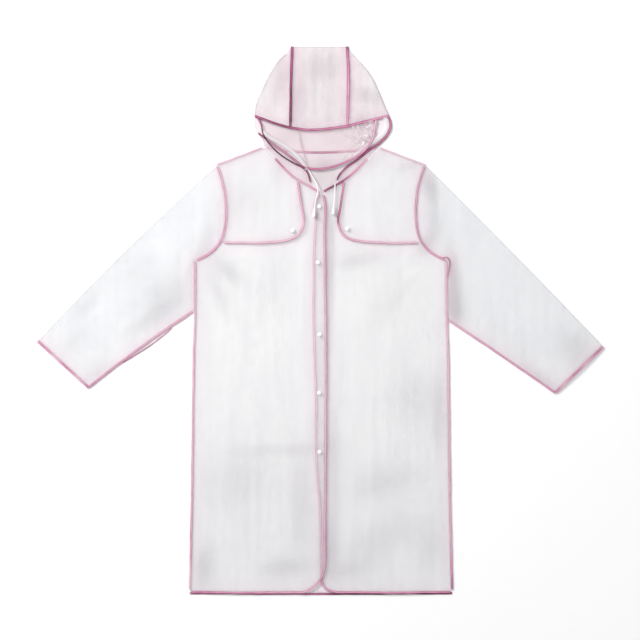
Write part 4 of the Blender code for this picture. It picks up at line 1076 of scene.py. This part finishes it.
def makeHoodSide(side, sign):
    # One panel folded along the hood's outline: its upper layer and its fold, then its lower layer,
    # then its cheek, which is ruled straight from the neck seam to the face opening.
    name, near = side.capitalize(), seamInset - 1
    stripLine, outline = curve(stripRows[side], 61), curve(outlineRows[side], 61)
    top, brim = curve([stripRows[side][0], outlineRows[side][0]], 31), brimLines[side]
    whole = np.concatenate([outline[:-1], curve(lowerRows[side], 21)])
    stripX, stripTop = stripRows[side][0]
    neck = resample(mirrored(above(backNeckLine, abs(stripX), 0), sign), 31)
    backSeam = curve([(stripX, stripTop), neck[-1]], len(whole))
    if sign < 0:
        front = insetPatch(top[::-1], stripLine, brim, outline, [0, near, near, 0])
        back = insetPatch(top[::-1], backSeam, neck, whole, [0, -near, near, 0])
    else:
        front = insetPatch(top, outline, brim, stripLine, [0, 0, near, near])
        back = insetPatch(top, whole, neck[::-1], backSeam, [0, 0, near, -near])
    high = hoodUnder(front[..., 0], front[..., 1]) + wall
    foldColumn, nextColumn = (0, 1) if sign < 0 else (-1, -2)
    outward = unit(front[:, foldColumn] - front[:, nextColumn])
    edgeTop, foot = high[:, foldColumn], hoodShape["outlineFoot"]
    angles = np.linspace(np.pi / 2, -np.pi / 2, hoodShape["foldSteps"])[1:]
    made = []
    for thin in (0.0, layers["film"]):
        middle, half = (edgeTop + foot) / 2, (edgeTop - foot) / 2 - thin
        turn = halfRound(front[:, foldColumn], outward, middle, half, angles)
        flatPart = np.dstack([front, high - thin])
        made.append(np.concatenate([turn[:, ::-1], flatPart] if sign < 0 else [flatPart, turn], axis=1))
    backPart = slab(back, lambda x, y: hoodShape["backTop"] + ripple(x, y, "sideBack"))
    neckPart = above(neckLine, frontNeckRows[-2][1])[1:]
    face = curve(faceRows[side], 81)
    facePart = face[face[:, 1] < cheekStarts[side]["faceHeight"]]
    lowEdge = resample(np.array([*cheekStarts[side]["fold"], *mirrored(neckPart, sign)]), len(facePart))
    low, far = beside(lowEdge, -sign * near), beside(facePart, sign * near)
    cheek = (low + (far - low) * np.linspace(0, 1, 9)[:, None, None]).transpose(1, 0, 2)
    cheek = cheek if sign < 0 else cheek[:, ::-1]
    parts = [shell(*made), backPart, slab(cheek, raised(frontUnder, wall))]
    if side == "right":
        across = np.linspace(0, innerFold["width"], 5)[None, :, None] * (1, 0)
        fold = curve(innerFold["line"], 60)[:, None] + across
        parts.append(slab(fold[:, ::-1], raised(frontUnder, wall, innerFold["lift"])))
    tapes = [binding(f"faceBinding{name}", face, frontUnder, raised(frontUnder, wall, tapeProud),
                     hoodTapes[f"face{name}"], width=hoodTapes["faceWidths"][side],
                     nodes=[f"tape_face_{side}"])]
    sheets[f"hoodSide{name}"] = {"parts": parts, "finish": "hoodFilm",
                                 "nodes": [f"hood_side_{side}", f"hood_back_{side}", f"hood_cheek_{side}"],
                                 "flat": (0.230, 0.250), "area": 0.0260, "tapes": tapes,
                                 "restsOn": ["floor"]}


def crinkledTop(x, y):
    # the visor's top: the fronts' smooth underside, a lift and a ripple that grows towards one end
    grow = 1 + ease((x - visorShape["crinkleFrom"]) / visorShape["crinkleRun"])
    return smoothUnder(x, y) + visorShape["lift"] + visorShape["film"] + ripple(x, y, "visor") * grow


def makeVisor():
    # a crescent of clear film between the brim and its own edge, with both of their tapes
    held = brimLine[(brimLine[:, 0] > visorRows[0][0]) & (brimLine[:, 0] < visorRows[-1][0])]
    edge = curve(visorRows, len(held))
    ends = [curve([held[k], edge[k]], 31) for k in (0, -1)]
    plan = insetPatch(held, ends[1], edge, ends[0], [seamInset - 1] * 4)
    edgeLine = curve([(-141, 452), *visorRows, (124, 448)], 160)
    foot = raised(smoothUnder, visorShape["lift"])
    tapes = [binding("visorBinding", edgeLine, foot, raised(foot, visorShape["tape"], tapeProud),
                     hoodTapes["visor"], width=hoodTapes["visorWidths"], nodes=["tape_visor"]),
             binding("foreheadBinding", brimLine, hoodUnder,
                     raised(hoodUnder, wall, tapeProud, hoodShape["brimLift"]),
                     hoodTapes["forehead"], width=hoodShape["brimTape"], nodes=["tape_forehead"])]
    sheets["visorFilm"] = {"parts": [slab(plan, crinkledTop)], "finish": "clearFilm", "nodes": ["visor"],
                           "flat": (0.265, 0.105), "area": 0.0175, "tapes": tapes,
                           "restsOn": ["hoodSideRight", "hoodSideLeft"]}


makeHoodCentre()
makeHoodSide("right", -1)
makeHoodSide("left", 1)
makeVisor()

# bands of doubled film: the casing beside the face opening, and the brim's allowance
bandRows = {
    "casingBand": {"line": [(-130, 421), (-117, 410.5), (-92, 396), (-70, 381.5), (-53, 367), (-41, 352.5),
                            (-31, 338)],
                   "on": frontUnder, "lift": 0.65, "hump": 2.6, "finish": "bandFilm"},
    "foreheadBand": {"line": [(-146, 464), (-117, 454), (-69, 440), (-21, 435), (11, 437), (60, 444),
                              (92, 452), (117, 458), (148, 466)],
                     "on": hoodUnder, "lift": 0.55, "hump": 0.1, "finish": "flapFilm"},
    "loopBand": {"line": [(143, 455), (147, 447), (148, 436), (141, 420), (124, 405), (104, 391), (76, 368)],
                 "on": frontUnder, "lift": 0.65, "hump": 0.5, "finish": "bandFilm"},
}
bandWidth = 10.0
casingCordFacts = {"line": [(-130, 420), (-117, 410), (-92, 396.5), (-71, 383), (-54, 369), (-42, 355),
                            (-33, 343), (-27, 334)],
                   "lift": 1.35, "radius": 1.0, "sides": 12}
for facts in bandRows.values():
    facts["line"] = curve(facts["line"], 90)


def makeBand(name, facts):
    # a strip of film along a line, a little above what it is sewn to: its hump is a parabola across it
    share = np.linspace(0.5, -0.5, 9)
    plan = np.stack([beside(facts["line"], -part * bandWidth) for part in share], axis=1)
    hump = facts["hump"] * (1 - (2 * share[None]) ** 2)
    part = slab(plan, lambda x, y: facts["on"](x, y) + wall + facts["lift"] + hump)
    return addPiece(name, [part], facts["finish"], blush=True)


bands = {name: makeBand(name, facts) for name, facts in bandRows.items()}
inside = curve(casingCordFacts["line"], 80)
insideHeight = frontUnder(inside[:, 0], inside[:, 1]) + wall + casingCordFacts["lift"]
inside = np.column_stack([inside, insideHeight])
addPiece("casingCord", [tube(inside, casingCordFacts["radius"], casingCordFacts["sides"])], "whiteCord")
print("hood cut")

# films
sheetPieces = {name: addPiece(name, facts["parts"], facts["finish"], facts["nodes"],
                              blush=facts["finish"] != "clearFilm") for name, facts in sheets.items()}
print("films made")

# snaps
snapFacts = {"radius": 4.9, "height": 2.4, "sides": 40, "lift": 0.1, "section": [
    (0.05, 0.0), (0.96, 0.0), (1.0, 0.12), (1.0, 0.34), (0.95, 0.5), (0.84, 0.64), (0.7, 0.74), (0.6, 0.78),
    (0.55, 0.72), (0.5, 0.78), (0.36, 0.95), (0.2, 1.0), (0.05, 1.0)]}
placketSnaps = [(-4, 254), (-7, 128), (-3, -34), (-4, -165), (-3, -298)]
flapSnaps = {"right": (-64, 200), "left": (59, 204)}


def makeSnap(name, place, surface, node):
    # a cap turned about the vertical, on the mean height of the surface under its rim
    x, y = place
    turn = np.linspace(0, 2 * np.pi, 24)
    radius = snapFacts["radius"]
    base = float(surface(x + radius * np.cos(turn), y + radius * np.sin(turn)).mean()) + snapFacts["lift"]
    height, sides = snapFacts["height"], snapFacts["sides"]
    part = lathe(snapFacts["section"], (x, y, base), (0, 0, 1), height, radius, sides)
    return addPiece(name, [part], "whitePlastic", [node])


snaps = {"frontRight": [makeSnap(f"snap{number}", spot, raised(topLapUnder, wall), f"snap_{number}")
                        for number, spot in enumerate(placketSnaps, 1)],
         "flapRight": [makeSnap("snapFlapRight", flapSnaps["right"], raised(topLapUnder, wall, gap, wall),
                                "snap_yoke_right")],
         "flapLeft": [makeSnap("snapFlapLeft", flapSnaps["left"], raised(frontUnder, wall, gap, wall),
                               "snap_yoke_left")]}
print("snaps made")

# each sheet's tapes and snaps, and each band's hood side, are only looked up; nothing is done with them
for name, facts in sheets.items():
    facts["tapes"] + snaps.get(name, [])
for name, facts in bandRows.items():
    "hoodSideRight" if name == "casingBand" else "hoodSideLeft"

# floor
floorFacts = {"half": 9, "height": -0.0002, "roughness": 0.9, "speckleScale": 40.0, "darker": 0.94,
              "paler": 0.96}
floorCorners = [(x * floorFacts["half"], y * floorFacts["half"], floorFacts["height"])
                for x, y in ((-1, -1), (1, -1), (1, 1), (-1, 1))]
floorMesh = bpy.data.meshes.new("floor")
floorMesh.from_pydata(floorCorners, [], [(0, 1, 2, 3)])
floor = bpy.data.objects.new("floor", floorMesh)
bpy.context.scene.collection.objects.link(floor)
floorFinish, floorWire, floorShader = newMaterial("floorPaper", {"Roughness": floorFacts["roughness"]})
speckle = noise(floorWire, objectPlace(floorWire), floorFacts["speckleScale"], 2.0, 0.5)
greys = [(floorFacts[tone],) * 3 + (1.0,) for tone in ("darker", "paler")]
plug(floorShader, "Base Color", speckle.mixed(*greys))
floorMesh.materials.append(floorFinish)
